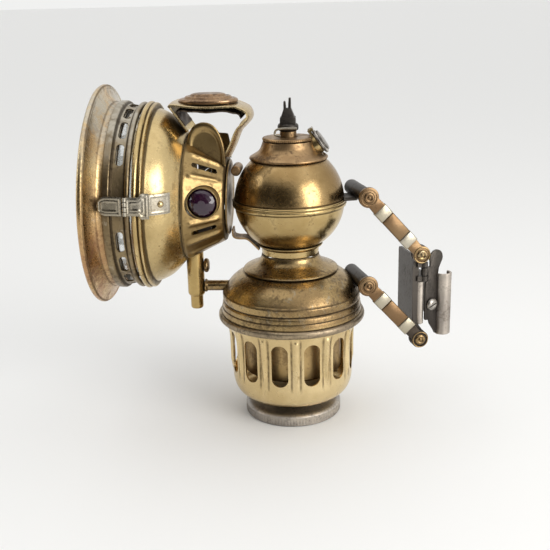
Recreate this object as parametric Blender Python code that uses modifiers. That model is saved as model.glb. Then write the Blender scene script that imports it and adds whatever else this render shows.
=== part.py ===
"""Acetylene bicycle lamp: a bell-fronted head beside a water-over-carbide generator, with a
parallel-link cycle bracket behind. Metres, +Z up. The origin is under the middle of the foot,
the lamp shines along -X and the bracket stands out along +X."""
import math

import bmesh
import bpy
from mathutils import Matrix, Vector

MM = 0.001
SHEET = 0.8 * MM          # thickness of the spun and folded brass
GAP = 0.3 * MM            # clearance between soldered or seated pieces

# Generator, on the Z axis
TANK_RADIUS = 25.6 * MM
TANK_MID_Z = 105.0 * MM
TANK_TOP_HEIGHT = 26.0 * MM
TANK_LOW_HEIGHT = 24.1 * MM
CAGE_RADIUS = 29.1 * MM
CAGE_SLOTS = 12
CAGE_SLOT_PHASE = math.radians(-99)
CAGE_SLOT_LENGTH = 20.7 * MM
CAGE_SLOT_WIDTH = 7.9 * MM
CAGE_SLOT_Z = 33.15 * MM
CARRIAGE_Z = 20.0 * MM

# Filler on the tank shoulder: its axis leans out and up from the Z axis
FILLER_TILT = math.radians(55)
FILLER_SEAT = Vector((14.2, 0.0, 132.0)) * MM
FILLER_HINGE = (-6.9 * MM, 0.0, 0.4 * MM)

# Lamp head: its axis runs forward from HEAD_ORIGIN and rises a little
HEAD_ORIGIN = Vector((-50.0, 0.0, 107.7)) * MM
HEAD_RISE = math.radians(2.0)
HEAD_SHEET = 0.5 * MM
VENT_PITCH = math.radians(18)
VENT_COUNT = 20
VENT_FORWARD = 21.4 * MM
HINGE_FORWARD = 15.9 * MM
HINGE_OUT = 45.0 * MM
HINGE_WALL = 0.8 * MM
LATCH_LOW = -1.2 * MM
LATCH_HIGH = 9.8 * MM
LATCH_FORWARD = 17.6 * MM
LATCH_OUT = 45.3 * MM
CONE_FRONT = (29.0, -3.5)
CONE_REAR = (20.2, -21.3)
JEWEL_BACK = 12.6 * MM
JEWEL_RISE = 1.7 * MM

# Burner tube, upright below the head
TUBE_X = -45.7 * MM
PIPE_Z = 63.6 * MM
PLUG_Z = 73.7 * MM

# Chimney above the head
CHIMNEY_WIDTH = 24.0 * MM
HOOD_LINE = [(-46.4, 137.6), (-53.2, 148.6), (-53.6, 150.2), (-52.6, 151.4), (-50.6, 151.6),
             (-45.0, 150.9), (-40.0, 150.4), (-33.0, 150.3), (-25.0, 150.5), (-20.5, 150.0),
             (-17.0, 148.3), (-15.6, 145.6), (-16.0, 143.2), (-20.8, 137.8), (-23.5, 131.5),
             (-26.2, 126.3)]

# Cycle bracket: a frame turned about Z, links swinging about its Y axis
BRACKET_ORIGIN = Vector((32.3, -0.7, 0.0)) * MM
BRACKET_YAW = math.radians(16)
UPPER_PIVOT_Z = 109.0 * MM
LOWER_PIVOT_Z = 67.4 * MM
LINK_REACH = 25.8 * MM
LINK_DROP = 28.7 * MM
LINK_SIDE = -14.1 * MM
LINK_WALL = 2.2 * MM
PIN_RADIUS = 1.4 * MM
PIN_BORE = 1.8 * MM
JAW_AXIS = (28.2 * MM, -12.2 * MM, 0.0)
JAW_SET = math.radians(19.5)

PALETTE = {
    "aged_brass": ((0.42, 0.27, 0.10), 0.34, 1.0),
    "bright_brass": ((0.78, 0.56, 0.24), 0.22, 1.0),
    "nickel": ((0.55, 0.51, 0.42), 0.30, 1.0),
    "dark_iron": ((0.09, 0.08, 0.07), 0.50, 1.0),
    "grey_iron": ((0.22, 0.21, 0.20), 0.45, 1.0),
    "ruby_glass": ((0.10, 0.01, 0.05), 0.08, 0.0),
    "green_glass": ((0.01, 0.08, 0.03), 0.08, 0.0),
    "clear_glass": ((0.85, 0.88, 0.88), 0.03, 0.0),
    "soapstone": ((0.70, 0.66, 0.58), 0.70, 0.0),
    "rubber": ((0.05, 0.05, 0.05), 0.80, 0.0),
}


# ---------------------------------------------------------------- scene and object helpers

def clear_scene():
    for obj in list(bpy.data.objects):
        bpy.data.objects.remove(obj, do_unlink=True)


def new_collection(name):
    collection = bpy.data.collections.new(name)
    bpy.context.scene.collection.children.link(collection)
    return collection


def make_material(name):
    colour, roughness, metallic = PALETTE[name]
    material = bpy.data.materials.new(name)
    material.use_nodes = True
    shader = material.node_tree.nodes["Principled BSDF"]
    shader.inputs["Base Color"].default_value = (*colour, 1.0)
    shader.inputs["Roughness"].default_value = roughness
    shader.inputs["Metallic"].default_value = metallic
    material.diffuse_color = (*colour, 1.0)
    return material


def add_frame(name, location, rotation=(0.0, 0.0, 0.0), parent=None):
    frame = bpy.data.objects.new(name, None)
    frame.empty_display_size = 10 * MM
    PARTS.objects.link(frame)
    frame.location = location
    frame.rotation_euler = rotation
    frame.parent = parent
    return frame


def add_object(name, data, finish, frame=None, location=(0, 0, 0), rotation=(0, 0, 0)):
    obj = bpy.data.objects.new(name, data)
    obj.location = location
    obj.rotation_euler = rotation
    obj.parent = frame
    if finish is None:
        CUTTERS.objects.link(obj)
        obj.hide_render = True
        obj.display_type = 'WIRE'
    else:
        PARTS.objects.link(obj)
        data.materials.append(MATERIALS[finish])
    return obj


def mesh_from(bm, name):
    mesh = bpy.data.meshes.new(name)
    bm.to_mesh(mesh)
    bm.free()
    return mesh


def boolean(obj, tool, operation='DIFFERENCE'):
    modifier = obj.modifiers.new(operation.lower(), 'BOOLEAN')
    modifier.operation = operation
    modifier.object = tool
    return modifier


# ---------------------------------------------------------------- shape helpers

def turned(name, profile, finish, frame=None, location=(0, 0, 0), rotation=(0, 0, 0),
           steps=24, loop=True, wall=0.0):
    """Profile of (radius, height) in millimetres, outer side first and running down.
    loop closes it into a ring, and wall thickens an open profile inward."""
    bm = bmesh.new()
    verts = [bm.verts.new((radius * MM, 0.0, height * MM)) for radius, height in profile]
    for first, second in zip(verts, verts[1:]):
        bm.edges.new((first, second))
    if loop:
        bm.edges.new((verts[-1], verts[0]))
    obj = add_object(name, mesh_from(bm, name), finish, frame, location, rotation)
    screw = obj.modifiers.new("turn", 'SCREW')
    screw.steps = steps
    screw.render_steps = steps
    screw.use_merge_vertices = True
    screw.merge_threshold = 0.00001
    screw.use_smooth_shade = True
    if wall:
        solidify = obj.modifiers.new("wall", 'SOLIDIFY')
        solidify.thickness = wall
        solidify.offset = -1.0
        solidify.use_even_offset = True
    return obj


def cylinder(name, radius, start, end, finish, frame=None, steps=24, end_radius=None):
    """A cylinder or cone between two points of its frame."""
    start = Vector(start)
    end = Vector(end)
    bm = bmesh.new()
    bmesh.ops.create_cone(bm, cap_ends=True, segments=steps, radius1=radius,
                          radius2=radius if end_radius is None else end_radius,
                          depth=(end - start).length)
    turn = (end - start).to_track_quat('Z', 'Y').to_matrix().to_4x4()
    bm.transform(Matrix.Translation((start + end) / 2) @ turn)
    mesh = mesh_from(bm, name)
    mesh.shade_smooth()
    mesh.set_sharp_from_angle(angle=math.radians(40))
    return add_object(name, mesh, finish, frame)


def box(name, low, high, finish, frame=None, rotation=(0, 0, 0), location=(0, 0, 0)):
    low = Vector(low)
    high = Vector(high)
    bm = bmesh.new()
    bmesh.ops.create_cube(bm, size=1.0)
    size = high - low
    bm.transform(Matrix.Translation((low + high) / 2) @ Matrix.Diagonal((*size, 1.0)))
    return add_object(name, mesh_from(bm, name), finish, frame, location, rotation)


def arc(centre, radius, start, end, count):
    """Points along an arc, angles in degrees."""
    points = []
    for step in range(count + 1):
        angle = math.radians(start + (end - start) * step / count)
        points.append((centre[0] + radius * math.cos(angle), centre[1] + radius * math.sin(angle)))
    return points


def plate(name, outlines, thickness, finish, frame=None, location=(0, 0, 0),
          rotation=(math.pi / 2, 0, 0)):
    """Flat plate from closed outlines in millimetres, the holes after the edge. As turned by
    default, outline x stays X, outline y is Z, and the thickness is along Y."""
    curve = bpy.data.curves.new(name, 'CURVE')
    curve.dimensions = '2D'
    curve.fill_mode = 'BOTH'
    curve.extrude = thickness / 2
    for outline in outlines:
        spline = curve.splines.new('POLY')
        spline.points.add(len(outline) - 1)
        for point, (x, y) in zip(spline.points, outline):
            point.co = (x * MM, y * MM, 0.0, 1.0)
        spline.use_cyclic_u = True
    flat = add_object(name + "_outline", curve, finish, frame, location, rotation)
    return as_mesh(flat, name, finish)


def as_mesh(curve_object, name, finish):
    """Turns a curve object into a welded mesh object in the same place."""
    bpy.context.view_layer.update()
    depsgraph = bpy.context.evaluated_depsgraph_get()
    mesh = bpy.data.meshes.new_from_object(curve_object.evaluated_get(depsgraph))
    bm = bmesh.new()
    bm.from_mesh(mesh)
    bmesh.ops.remove_doubles(bm, verts=bm.verts, dist=0.00001)
    bm.to_mesh(mesh)
    bm.free()
    mesh.materials.clear()
    frame = curve_object.parent
    location = curve_object.location.copy()
    rotation = curve_object.rotation_euler.copy()
    curve = curve_object.data
    bpy.data.objects.remove(curve_object, do_unlink=True)
    bpy.data.curves.remove(curve)
    mesh.name = name
    return add_object(name, mesh, finish, frame, location, rotation)


def strip(name, path, width, finish, frame=None, wall=SHEET, offset=1.0):
    """Sheet bent along a path of (x, z) in millimetres, of a given width along Y."""
    bm = bmesh.new()
    row = [bm.verts.new((x * MM, -width / 2, z * MM)) for x, z in path]
    edges = [bm.edges.new(pair) for pair in zip(row, row[1:])]
    grown = bmesh.ops.extrude_edge_only(bm, edges=edges)
    moved = [item for item in grown["geom"] if isinstance(item, bmesh.types.BMVert)]
    bmesh.ops.translate(bm, verts=moved, vec=(0.0, width, 0.0))
    obj = add_object(name, mesh_from(bm, name), finish, frame)
    solidify = obj.modifiers.new("wall", 'SOLIDIFY')
    solidify.thickness = wall
    solidify.offset = offset
    solidify.use_even_offset = True
    return obj


def slot_cutters(name, places, length, width, depth, frame=None, rotation=(0, 0, 0)):
    """One cutter mesh of round-ended slots. A place is (centre, long direction, inward)."""
    bm = bmesh.new()
    for centre, long_way, inward in places:
        across = inward.cross(long_way).normalized()
        turn = Matrix((long_way.normalized(), across, inward.normalized())).transposed()
        spin = Matrix.Rotation(math.radians(22.5), 4, 'Z')
        made = bmesh.ops.create_cone(bm, cap_ends=True, segments=8, radius1=width / 2,
                                     radius2=width / 2, depth=depth, matrix=spin)
        for vert in made["verts"]:
            vert.co.x += math.copysign((length - width) / 2, vert.co.x)
            vert.co = turn @ vert.co + centre
    return add_object(name, mesh_from(bm, name), None, frame, rotation=rotation)


def wire(name, points, radius, finish, frame=None):
    """Bent wire through points in millimetres."""
    curve = bpy.data.curves.new(name, 'CURVE')
    curve.dimensions = '3D'
    curve.bevel_depth = radius
    curve.bevel_resolution = 2
    curve.use_fill_caps = True
    spline = curve.splines.new('POLY')
    spline.points.add(len(points) - 1)
    for point, (x, y, z) in zip(spline.points, points):
        point.co = (x * MM, y * MM, z * MM, 1.0)
    return add_object(name, curve, finish, frame)


def ellipse_profile(radius, centre, height, start, end, count):
    """Points of an ellipse about the axis, by height angle in degrees, in millimetres."""
    points = []
    for step in range(count + 1):
        angle = math.radians(start + (end - start) * step / count)
        points.append((radius * math.cos(angle) / MM, (centre + height * math.sin(angle)) / MM))
    return points


# ---------------------------------------------------------------- generator

def build_tank():
    top = ellipse_profile(TANK_RADIUS, TANK_MID_Z, TANK_TOP_HEIGHT, 47.6, 0.3, 5)
    turned("tank_upper_bowl", top, "aged_brass", loop=False, wall=SHEET)
    low = ellipse_profile(TANK_RADIUS, TANK_MID_Z, TANK_LOW_HEIGHT, -0.6, -53.6, 5)
    low.append((3.4, 85.35))
    turned("tank_lower_bowl", low, "aged_brass", loop=False, wall=SHEET)
    band = [(26.3, 106.4), (26.6, 106.0), (26.6, 103.7), (26.3, 103.2), (25.95, 103.2),
            (25.95, 106.4)]
    turned("tank_seam_band", band, "bright_brass")

    shoulder = [(11.7, 132.9), (12.6, 130.2), (14.0, 128.3), (17.0, 126.4), (18.1, 125.4),
                (17.7, 124.7)]
    collar = turned("tank_collar", shoulder, "aged_brass", loop=False, wall=SHEET)
    rim = [(11.4, 134.7), (11.9, 134.2), (11.9, 133.6), (11.5, 133.2), (4.1, 133.2), (4.1, 134.7)]
    top_plate = turned("tank_top_plate", rim, "aged_brass")

    along = Vector((math.sin(FILLER_TILT), 0.0, math.cos(FILLER_TILT)))
    neck_room = cylinder("filler_neck_room", 4.9 * MM, FILLER_SEAT - 8 * MM * along,
                         FILLER_SEAT + 0.5 * MM * along, None)
    cap_room = cylinder("filler_cap_room", 6.5 * MM, FILLER_SEAT - 1.8 * MM * along,
                        FILLER_SEAT + 6 * MM * along, None)
    boolean(collar, neck_room)
    boolean(collar, cap_room)
    boolean(top_plate, neck_room)
    boolean(top_plate, cap_room)


def build_filler():
    seat = add_frame("filler_seat", FILLER_SEAT, (0.0, FILLER_TILT, 0.0))
    tube = [(4.6, -0.3), (4.6, -4.5), (3.6, -4.5), (3.6, -0.3)]
    neck = turned("filler_neck", tube, "aged_brass", frame=seat, steps=24)
    ear_line = [(-3.4, -1.4), (-3.4, -0.5), (-6.3, -0.5), (-6.3, 1.1), (-7.6, 1.1), (-7.6, -1.4)]
    for word, side in (("near", -2.35), ("far", 2.35)):
        ear = plate("filler_ear_" + word, [ear_line], 0.9 * MM, None, frame=seat,
                    location=(0.0, side * MM, 0.0))
        boolean(neck, ear, 'UNION')

    hinge = add_frame("filler_hinge", FILLER_HINGE, parent=seat)
    lid = [(0.0, 2.4), (4.8, 2.4), (5.0, 2.2), (5.0, 1.3), (5.8, 1.2), (5.9, 1.0), (5.9, 0.2),
           (5.7, 0.0), (0.0, 0.0)]
    cap = turned("filler_cap", lid, "aged_brass", frame=hinge, steps=24, loop=False,
                 location=(-FILLER_HINGE[0], 0.0, -FILLER_HINGE[2]))
    knuckle = cylinder("filler_knuckle", 0.9 * MM, (0.0, -1.5 * MM, 0.0), (0.0, 1.5 * MM, 0.0),
                       None, frame=hinge, steps=12)
    web = box("filler_web", (0.0, -1.5 * MM, -0.35 * MM), (2.4 * MM, 1.5 * MM, 0.6 * MM), None,
              frame=hinge)
    boolean(cap, web, 'UNION')
    boolean(cap, knuckle, 'UNION')


def build_valve():
    guide = [(3.8, 137.3), (3.8, 131.5), (2.3, 131.5), (2.3, 137.3)]
    turned("valve_guide", guide, "aged_brass", steps=20)
    spindle = [(0.0, 141.0), (3.4, 141.0), (4.4, 140.2), (4.8, 139.8), (4.8, 138.1), (4.4, 137.6),
               (1.9, 137.6), (1.9, 101.0), (0.7, 98.6), (0.0, 98.6)]
    stem = turned("valve_stem", spindle, "dark_iron", steps=20, loop=False)
    block = cylinder("stem_block", 5.2 * MM, (0, 0, 140.1 * MM), (0, 0, 143.5 * MM), None, steps=4)
    taper = cylinder("stem_taper", 5.1 * MM, (0, 0, 143.4 * MM), (0, 0, 147.0 * MM), None, steps=4,
                     end_radius=2.3 * MM)
    left = box("stem_prong_left", (-1.9 * MM, -1.5 * MM, 143.0 * MM),
               (-0.6 * MM, 1.5 * MM, 150.7 * MM), None)
    right = box("stem_prong_right", (0.3 * MM, -1.5 * MM, 143.0 * MM),
                (1.6 * MM, 1.5 * MM, 152.2 * MM), None)
    for tool in (block, taper, left, right):
        boolean(stem, tool, 'UNION')
    bent = [(4.2, -5.8, 139.0), (-2.0, -5.9, 139.1), (-4.8, -5.5, 138.6), (-5.8, -5.2, 137.2),
            (-5.4, -5.1, 136.0), (-3.2, -5.2, 135.6)]
    wire("pointer_wire", bent, 0.5 * MM, "nickel")
    drip = [(2.9, 98.0), (2.9, 60.0), (2.1, 60.0), (2.1, 98.0)]
    turned("drip_tube", drip, "bright_brass", steps=20)


def build_dome():
    collar = [(15.3, 85.0), (15.3, 84.2), (13.5, 83.2), (13.3, 80.2), (12.5, 80.2), (12.5, 85.0)]
    turned("neck_collar", collar, "aged_brass")
    skirt = [(13.5, 79.9), (14.4, 77.4), (16.7, 75.4), (22.2, 73.2), (22.6, 72.6)]
    turned("neck_skirt", skirt, "aged_brass", loop=False, wall=0.7 * MM)
    shell = [(3.4, 72.6), (20.0, 72.0), (22.9, 71.3), (28.8, 67.2), (31.9, 62.7), (32.9, 61.5),
             (32.9, 58.7), (32.4, 58.0), (33.0, 57.2), (33.6, 52.3)]
    dome = turned("generator_dome", shell, "aged_brass", loop=False, wall=SHEET)
    pipe_room = cylinder("dome_pipe_room", 2.9 * MM, (-36 * MM, 0, PIPE_Z), (-20 * MM, 0, PIPE_Z),
                         None, steps=20)
    boolean(dome, pipe_room)
    ring = [(34.2, 52.0), (35.1, 50.8), (35.1, 49.6), (34.0, 48.4), (31.2, 48.4), (31.2, 49.2),
            (32.9, 49.8), (32.9, 52.0)]
    turned("locking_ring", ring, "grey_iron")
    seat = [(30.4, 58.1), (30.4, 57.3), (20.0, 57.3), (20.0, 58.1)]
    turned("gasket_seat", seat, "aged_brass", steps=32)
    gasket = [(25.6, 57.0), (25.6, 55.1), (22.0, 55.1), (22.0, 57.0)]
    turned("rubber_gasket", gasket, "rubber", steps=32)


def build_cage():
    profile = [(30.6, 56.0), (30.6, 49.0), (29.3, 40.0), (29.0, 20.0), (28.2, 15.8), (26.0, 12.2),
               (22.8, 10.2), (3.6, 9.8)]
    cage = turned("carbide_cage", profile, "bright_brass", loop=False, wall=SHEET)
    places = []
    for index in range(CAGE_SLOTS):
        angle = CAGE_SLOT_PHASE + index * 2 * math.pi / CAGE_SLOTS
        out = Vector((math.cos(angle), math.sin(angle), 0.0))
        places.append((out * CAGE_RADIUS + Vector((0, 0, CAGE_SLOT_Z)), Vector((0, 0, 1)), -out))
    slots = slot_cutters("cage_slots", places, CAGE_SLOT_LENGTH, CAGE_SLOT_WIDTH, 5 * MM)
    boolean(cage, slots)


def build_carriage():
    screw = add_frame("carriage_frame", (0.0, 0.0, CARRIAGE_Z))
    canister = [(0.0, 3.8), (22.7, 3.8), (22.7, 34.8), (24.9, 34.8), (24.9, 34.0), (23.5, 33.6),
                (23.5, 3.6), (22.9, 3.0), (0.0, 3.0)]
    turned("carbide_canister", canister, "aged_brass", frame=screw, loop=False)
    pressure = [(0.0, 2.7), (13.0, 2.7), (13.0, 0.7), (0.0, 0.7)]
    turned("pressure_plate", pressure, "grey_iron", frame=screw, steps=32, loop=False)
    spindle = [(0.0, 0.4), (3.0, 0.4), (3.0, -17.7), (0.0, -17.7)]
    turned("clamp_spindle", spindle, "grey_iron", frame=screw, steps=20, loop=False)
    knob = [(0.0, -18.0), (3.3, -18.0), (3.3, -10.8), (5.2, -10.8), (8.0, -13.4), (19.5, -14.0),
            (22.6, -14.8), (23.3, -15.8), (23.3, -19.4), (22.8, -20.0), (0.0, -20.0)]
    turned("foot_knob", knob, "grey_iron", frame=screw, loop=False)


# ---------------------------------------------------------------- lamp head

FORWARD = (0.0, -math.pi / 2, 0.0)      # turns a part's own Z to the head's forward direction


def build_door(head):
    hinge = add_frame("door_hinge", (-HINGE_FORWARD, HINGE_OUT, 0.0), parent=head)
    place = (HINGE_FORWARD, -HINGE_OUT, 0.0)
    flare = [(50.7, 36.0), (50.5, 34.6), (48.8, 34.1), (44.4, 32.0), (42.2, 29.4), (41.9, 26.0),
             (41.4, 26.0), (41.7, 29.6), (44.1, 32.5), (47.8, 34.8), (48.5, 36.6), (49.8, 37.0)]
    turned("bell_flare", flare, "aged_brass", frame=hinge, location=place, rotation=FORWARD,
           steps=32)
    band = [(43.5, 28.0), (43.5, 24.8), (42.0, 24.3), (41.2, 18.8), (41.9, 18.2), (41.9, 16.4),
            (41.3, 16.4), (41.3, 17.8), (40.6, 18.6), (41.4, 24.7), (42.8, 25.4), (42.8, 28.0)]
    bezel = turned("vent_bezel", band, "aged_brass", frame=hinge, location=place,
                   rotation=FORWARD, steps=32)
    places = []
    for index in range(2, VENT_COUNT):
        angle = index * VENT_PITCH
        out = Vector((0.0, -math.cos(angle), math.sin(angle)))
        tangent = Vector((0.0, math.sin(angle), math.cos(angle)))
        places.append((out * 41.3 * MM + Vector((-VENT_FORWARD, 0, 0)), tangent, -out))
    slots = slot_cutters("vent_slots", places, 10.2 * MM, 3.4 * MM, 5 * MM, frame=hinge)
    slots.location = place
    boolean(bezel, slots)
    lens = [(0.0, 29.5), (20.0, 28.6), (39.3, 25.6), (39.3, 24.0), (20.0, 26.8), (0.0, 27.7)]
    turned("lens_glass", lens, "clear_glass", frame=hinge, location=place, rotation=FORWARD,
           loop=False)
    keeper = [(40.4, 23.7), (40.4, 22.9), (37.6, 22.9), (37.6, 23.7)]
    turned("lens_ring", keeper, "nickel", frame=hinge, location=place, rotation=FORWARD, steps=24)

    leaf_line = [(-8.4, -9.0), (-1.8, -9.0), (-1.8, -3.5), (0.0, -3.5), (0.0, 3.5), (-1.8, 3.5),
                 (-1.8, 9.0), (-8.4, 9.0)]
    leaf = plate("door_leaf", [leaf_line], HINGE_WALL, "nickel", frame=hinge,
                 location=(0.0, -1.3 * MM, 0.0))
    knuckle = cylinder("door_knuckle", 1.5 * MM, (0, 0, -3.5 * MM), (0, 0, 3.5 * MM), None,
                       frame=hinge, steps=16)
    boolean(leaf, knuckle, 'UNION')

    high = LATCH_HIGH / MM
    low = LATCH_LOW / MM
    middle = (high + low) / 2
    strap = [(-19.1, low), (-19.1, high), (-26.0, high), (-28.2, high - 1.6), (-29.5, middle + 1.6),
             (-29.5, middle - 1.6), (-28.2, low + 1.6), (-26.0, low)]
    plate("latch_leaf", [strap], 0.9 * MM, "nickel", frame=hinge,
          location=(HINGE_FORWARD, -44.45 * MM - HINGE_OUT, 0.0))


def bent_sheet(name, path, low, high, wall, finish, frame):
    """Sheet bent along a path of (x, y) in millimetres, standing between two heights."""
    bm = bmesh.new()
    row = [bm.verts.new((x * MM, y * MM, low)) for x, y in path]
    edges = [bm.edges.new(pair) for pair in zip(row, row[1:])]
    grown = bmesh.ops.extrude_edge_only(bm, edges=edges)
    moved = [item for item in grown["geom"] if isinstance(item, bmesh.types.BMVert)]
    bmesh.ops.translate(bm, verts=moved, vec=(0.0, 0.0, high - low))
    bmesh.ops.recalc_face_normals(bm, faces=bm.faces)
    obj = add_object(name, mesh_from(bm, name), finish, frame)
    solidify = obj.modifiers.new("wall", 'SOLIDIFY')
    solidify.thickness = wall
    solidify.offset = 0.0
    solidify.use_even_offset = True
    return obj


def build_latch(head):
    pivot = add_frame("latch_pivot", (-LATCH_FORWARD, -LATCH_OUT, 0.0), parent=head)
    path = [(0.0, 0.0), (1.8, 0.7), (5.6, 1.1), (8.4, 2.2), (10.0, 2.6)]
    tongue = bent_sheet("latch_tongue", path, LATCH_LOW, LATCH_HIGH, 0.8 * MM, "nickel", pivot)
    knuckle = cylinder("tongue_knuckle", 0.95 * MM, (0, 0, LATCH_LOW), (0, 0, LATCH_HIGH), None,
                       frame=pivot, steps=16)
    boolean(tongue, knuckle, 'UNION')

    catch = [(-8.1, -41.3), (-7.3, -40.4), (-5.0, -38.9), (-2.5, -36.9), (-0.2, -34.4)]
    body = bent_sheet("catch_plate", catch, LATCH_LOW + MM, LATCH_HIGH - MM, 0.8 * MM, "nickel",
                      head)
    rivet = cylinder("catch_rivet", 1.2 * MM, (-3.4 * MM, -38.4 * MM, 4.3 * MM),
                     (-3.9 * MM, -39.1 * MM, 4.3 * MM), None, frame=head, steps=12)
    boolean(body, rivet, 'UNION')

    leaf_line = [(-15.9, 3.8), (-15.9, 9.0), (-6.4, 9.0), (-6.4, -9.0), (-15.9, -9.0),
                 (-15.9, -3.8), (-14.1, -3.8), (-14.1, 3.8)]
    leaf = plate("drum_leaf", [leaf_line], HINGE_WALL, "nickel", frame=head,
                 location=(0.0, HINGE_OUT - 1.3 * MM, 0.0))
    for word, low, high in (("low", -9.0, -3.8), ("high", 3.8, 9.0)):
        knuckle = cylinder("drum_knuckle_" + word, 1.5 * MM,
                           (-HINGE_FORWARD, HINGE_OUT, low * MM),
                           (-HINGE_FORWARD, HINGE_OUT, high * MM), None, frame=head, steps=16)
        boolean(leaf, knuckle, 'UNION')


def build_head(head):
    bowl = [(42.0, 15.2), (42.7, 14.3), (42.2, 13.3), (42.7, 12.5), (42.0, 11.6), (40.4, 11.2),
            (38.9, 7.4), (35.6, 2.5), (28.9, -3.1)]
    drum = turned("head_drum", bowl, "aged_brass", frame=head, rotation=FORWARD, loop=False,
                  wall=HEAD_SHEET, steps=32)
    cone_line = [CONE_FRONT, CONE_REAR, (15.0, -21.3)]
    cone = turned("rear_cone", cone_line, "aged_brass", frame=head, rotation=FORWARD, loop=False,
                  wall=HEAD_SHEET)
    tube_room = cylinder("tube_room", 4.6 * MM, (TUBE_X, 0, 60 * MM), (TUBE_X, 0, 95 * MM), None)
    boolean(drum, tube_room)
    boolean(cone, tube_room)
    chimney_room = box("chimney_room", (5.0 * MM, -11.0 * MM, 8.0 * MM),
                       (19.0 * MM, 11.0 * MM, 40.0 * MM), None, frame=head)
    boolean(cone, chimney_room)
    jewel_room = cylinder("jewel_room", 7.5 * MM, (JEWEL_BACK, -40 * MM, JEWEL_RISE),
                          (JEWEL_BACK, 40 * MM, JEWEL_RISE), None, frame=head)
    boolean(cone, jewel_room)

    slant = math.atan2(CONE_FRONT[0] - CONE_REAR[0], CONE_FRONT[1] - CONE_REAR[1])
    back = Vector((1.0, 0.0, 0.0))
    places = []
    for side in (-1, 1):
        for lift in (42.5, -26.0):
            angle = math.radians(lift)
            radial = Vector((0.0, side * math.cos(angle), math.sin(angle)))
            inward = -(radial * math.cos(slant) + back * math.sin(slant))
            long_way = back * math.cos(slant) - radial * math.sin(slant)
            places.append((radial * 24.4 * MM + back * 12.8 * MM, long_way, inward))
    slots = slot_cutters("cone_slots", places, 12.4 * MM, 2.0 * MM, 5 * MM, frame=head)
    boolean(cone, slots)

    cap = [(0.0, -21.7), (17.4, -21.7), (17.6, -21.9), (17.6, -22.4), (17.4, -22.6), (0.0, -22.6)]
    turned("back_plate", cap, "aged_brass", frame=head, rotation=FORWARD, loop=False)
    dish = [(0.0, -18.8), (9.0, -17.7), (16.0, -14.6), (16.4, -14.9), (9.0, -18.4), (0.0, -19.5)]
    turned("reflector", dish, "nickel", frame=head, rotation=FORWARD, loop=False)

    for side, word, glass in ((-1, "near", "ruby_glass"), (1, "far", "green_glass")):
        turn = (side * -math.pi / 2, 0.0, 0.0)
        spot = (JEWEL_BACK, 0.0, JEWEL_RISE)
        bezel = [(6.9, 26.5), (7.2, 26.1), (7.2, 20.0), (6.3, 20.0), (6.3, 26.5)]
        turned("jewel_bezel_" + word, bezel, "aged_brass", frame=head, location=spot,
               rotation=turn, steps=20)
        stone = [(0.0, 27.4), (3.0, 27.0), (5.0, 26.0), (6.0, 24.6), (6.0, 22.0), (0.0, 22.0)]
        turned("jewel_" + word, stone, glass, frame=head, location=spot, rotation=turn, steps=16,
               loop=False)


def build_chimney():
    arch = [(-44.5, 134.9), (-44.3, 137.2), (-43.0, 139.9), (-41.0, 141.9), (-38.8, 142.9),
            (-36.6, 143.2), (-34.2, 142.6), (-31.8, 140.8), (-29.8, 137.8), (-28.3, 132.8),
            (-27.9, 126.5)]
    low_arch = [(-44.5, 134.9), (-43.0, 135.3), (-36.6, 135.4), (-30.0, 135.3), (-28.9, 134.6),
                (-28.3, 132.8), (-27.9, 126.5)]
    for word, side, outline in (("near", -11.9, arch), ("far", 11.9, low_arch)):
        plate("chimney_cheek_" + word, [outline], SHEET, "aged_brass",
              location=(0.0, side * MM, 0.0))
    strip("chimney_hood", HOOD_LINE, CHIMNEY_WIDTH, "bright_brass", wall=0.7 * MM)
    inner = [(-45.2, 139.5), (-49.8, 146.6), (-48.5, 148.8), (-44.0, 148.6), (-36.0, 148.2),
             (-26.0, 148.2), (-21.0, 146.8), (-19.2, 144.2)]
    strip("hood_deflector", inner, CHIMNEY_WIDTH - 4 * MM, "dark_iron", wall=0.6 * MM)
    rise = [(0.0, 155.0), (6.0, 154.7), (9.5, 153.9), (10.5, 153.0), (12.6, 152.6), (13.7, 151.7),
            (13.5, 151.2), (13.5, 149.5), (0.0, 149.5)]
    dome = oval_turned("hood_dome", rise, 0.72, -36.0 * MM, "aged_brass")
    outline = [(x, z + GAP / MM) for x, z in HOOD_LINE[2:11]]
    outline += [(-17.0, 146.0), (-53.6, 146.0)]
    boolean(dome, plate("hood_top_room", [outline], 30 * MM, None))


def oval_turned(name, profile, squeeze, centre_x, finish):
    """Solid of revolution in millimetres, narrowed along Y."""
    bm = bmesh.new()
    row = [bm.verts.new((radius * MM, 0.0, height * MM)) for radius, height in profile]
    edges = [bm.edges.new(pair) for pair in zip(row, row[1:])]
    bmesh.ops.spin(bm, geom=row + edges, cent=(0, 0, 0), axis=(0, 0, 1), angle=2 * math.pi,
                   steps=28, use_merge=True)
    bmesh.ops.remove_doubles(bm, verts=bm.verts, dist=0.00001)
    bmesh.ops.scale(bm, verts=bm.verts, vec=(1.0, squeeze, 1.0))
    bmesh.ops.recalc_face_normals(bm, faces=bm.faces)
    bmesh.ops.translate(bm, verts=bm.verts, vec=(centre_x, 0.0, 0.0))
    return add_object(name, mesh_from(bm, name), finish)


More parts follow.
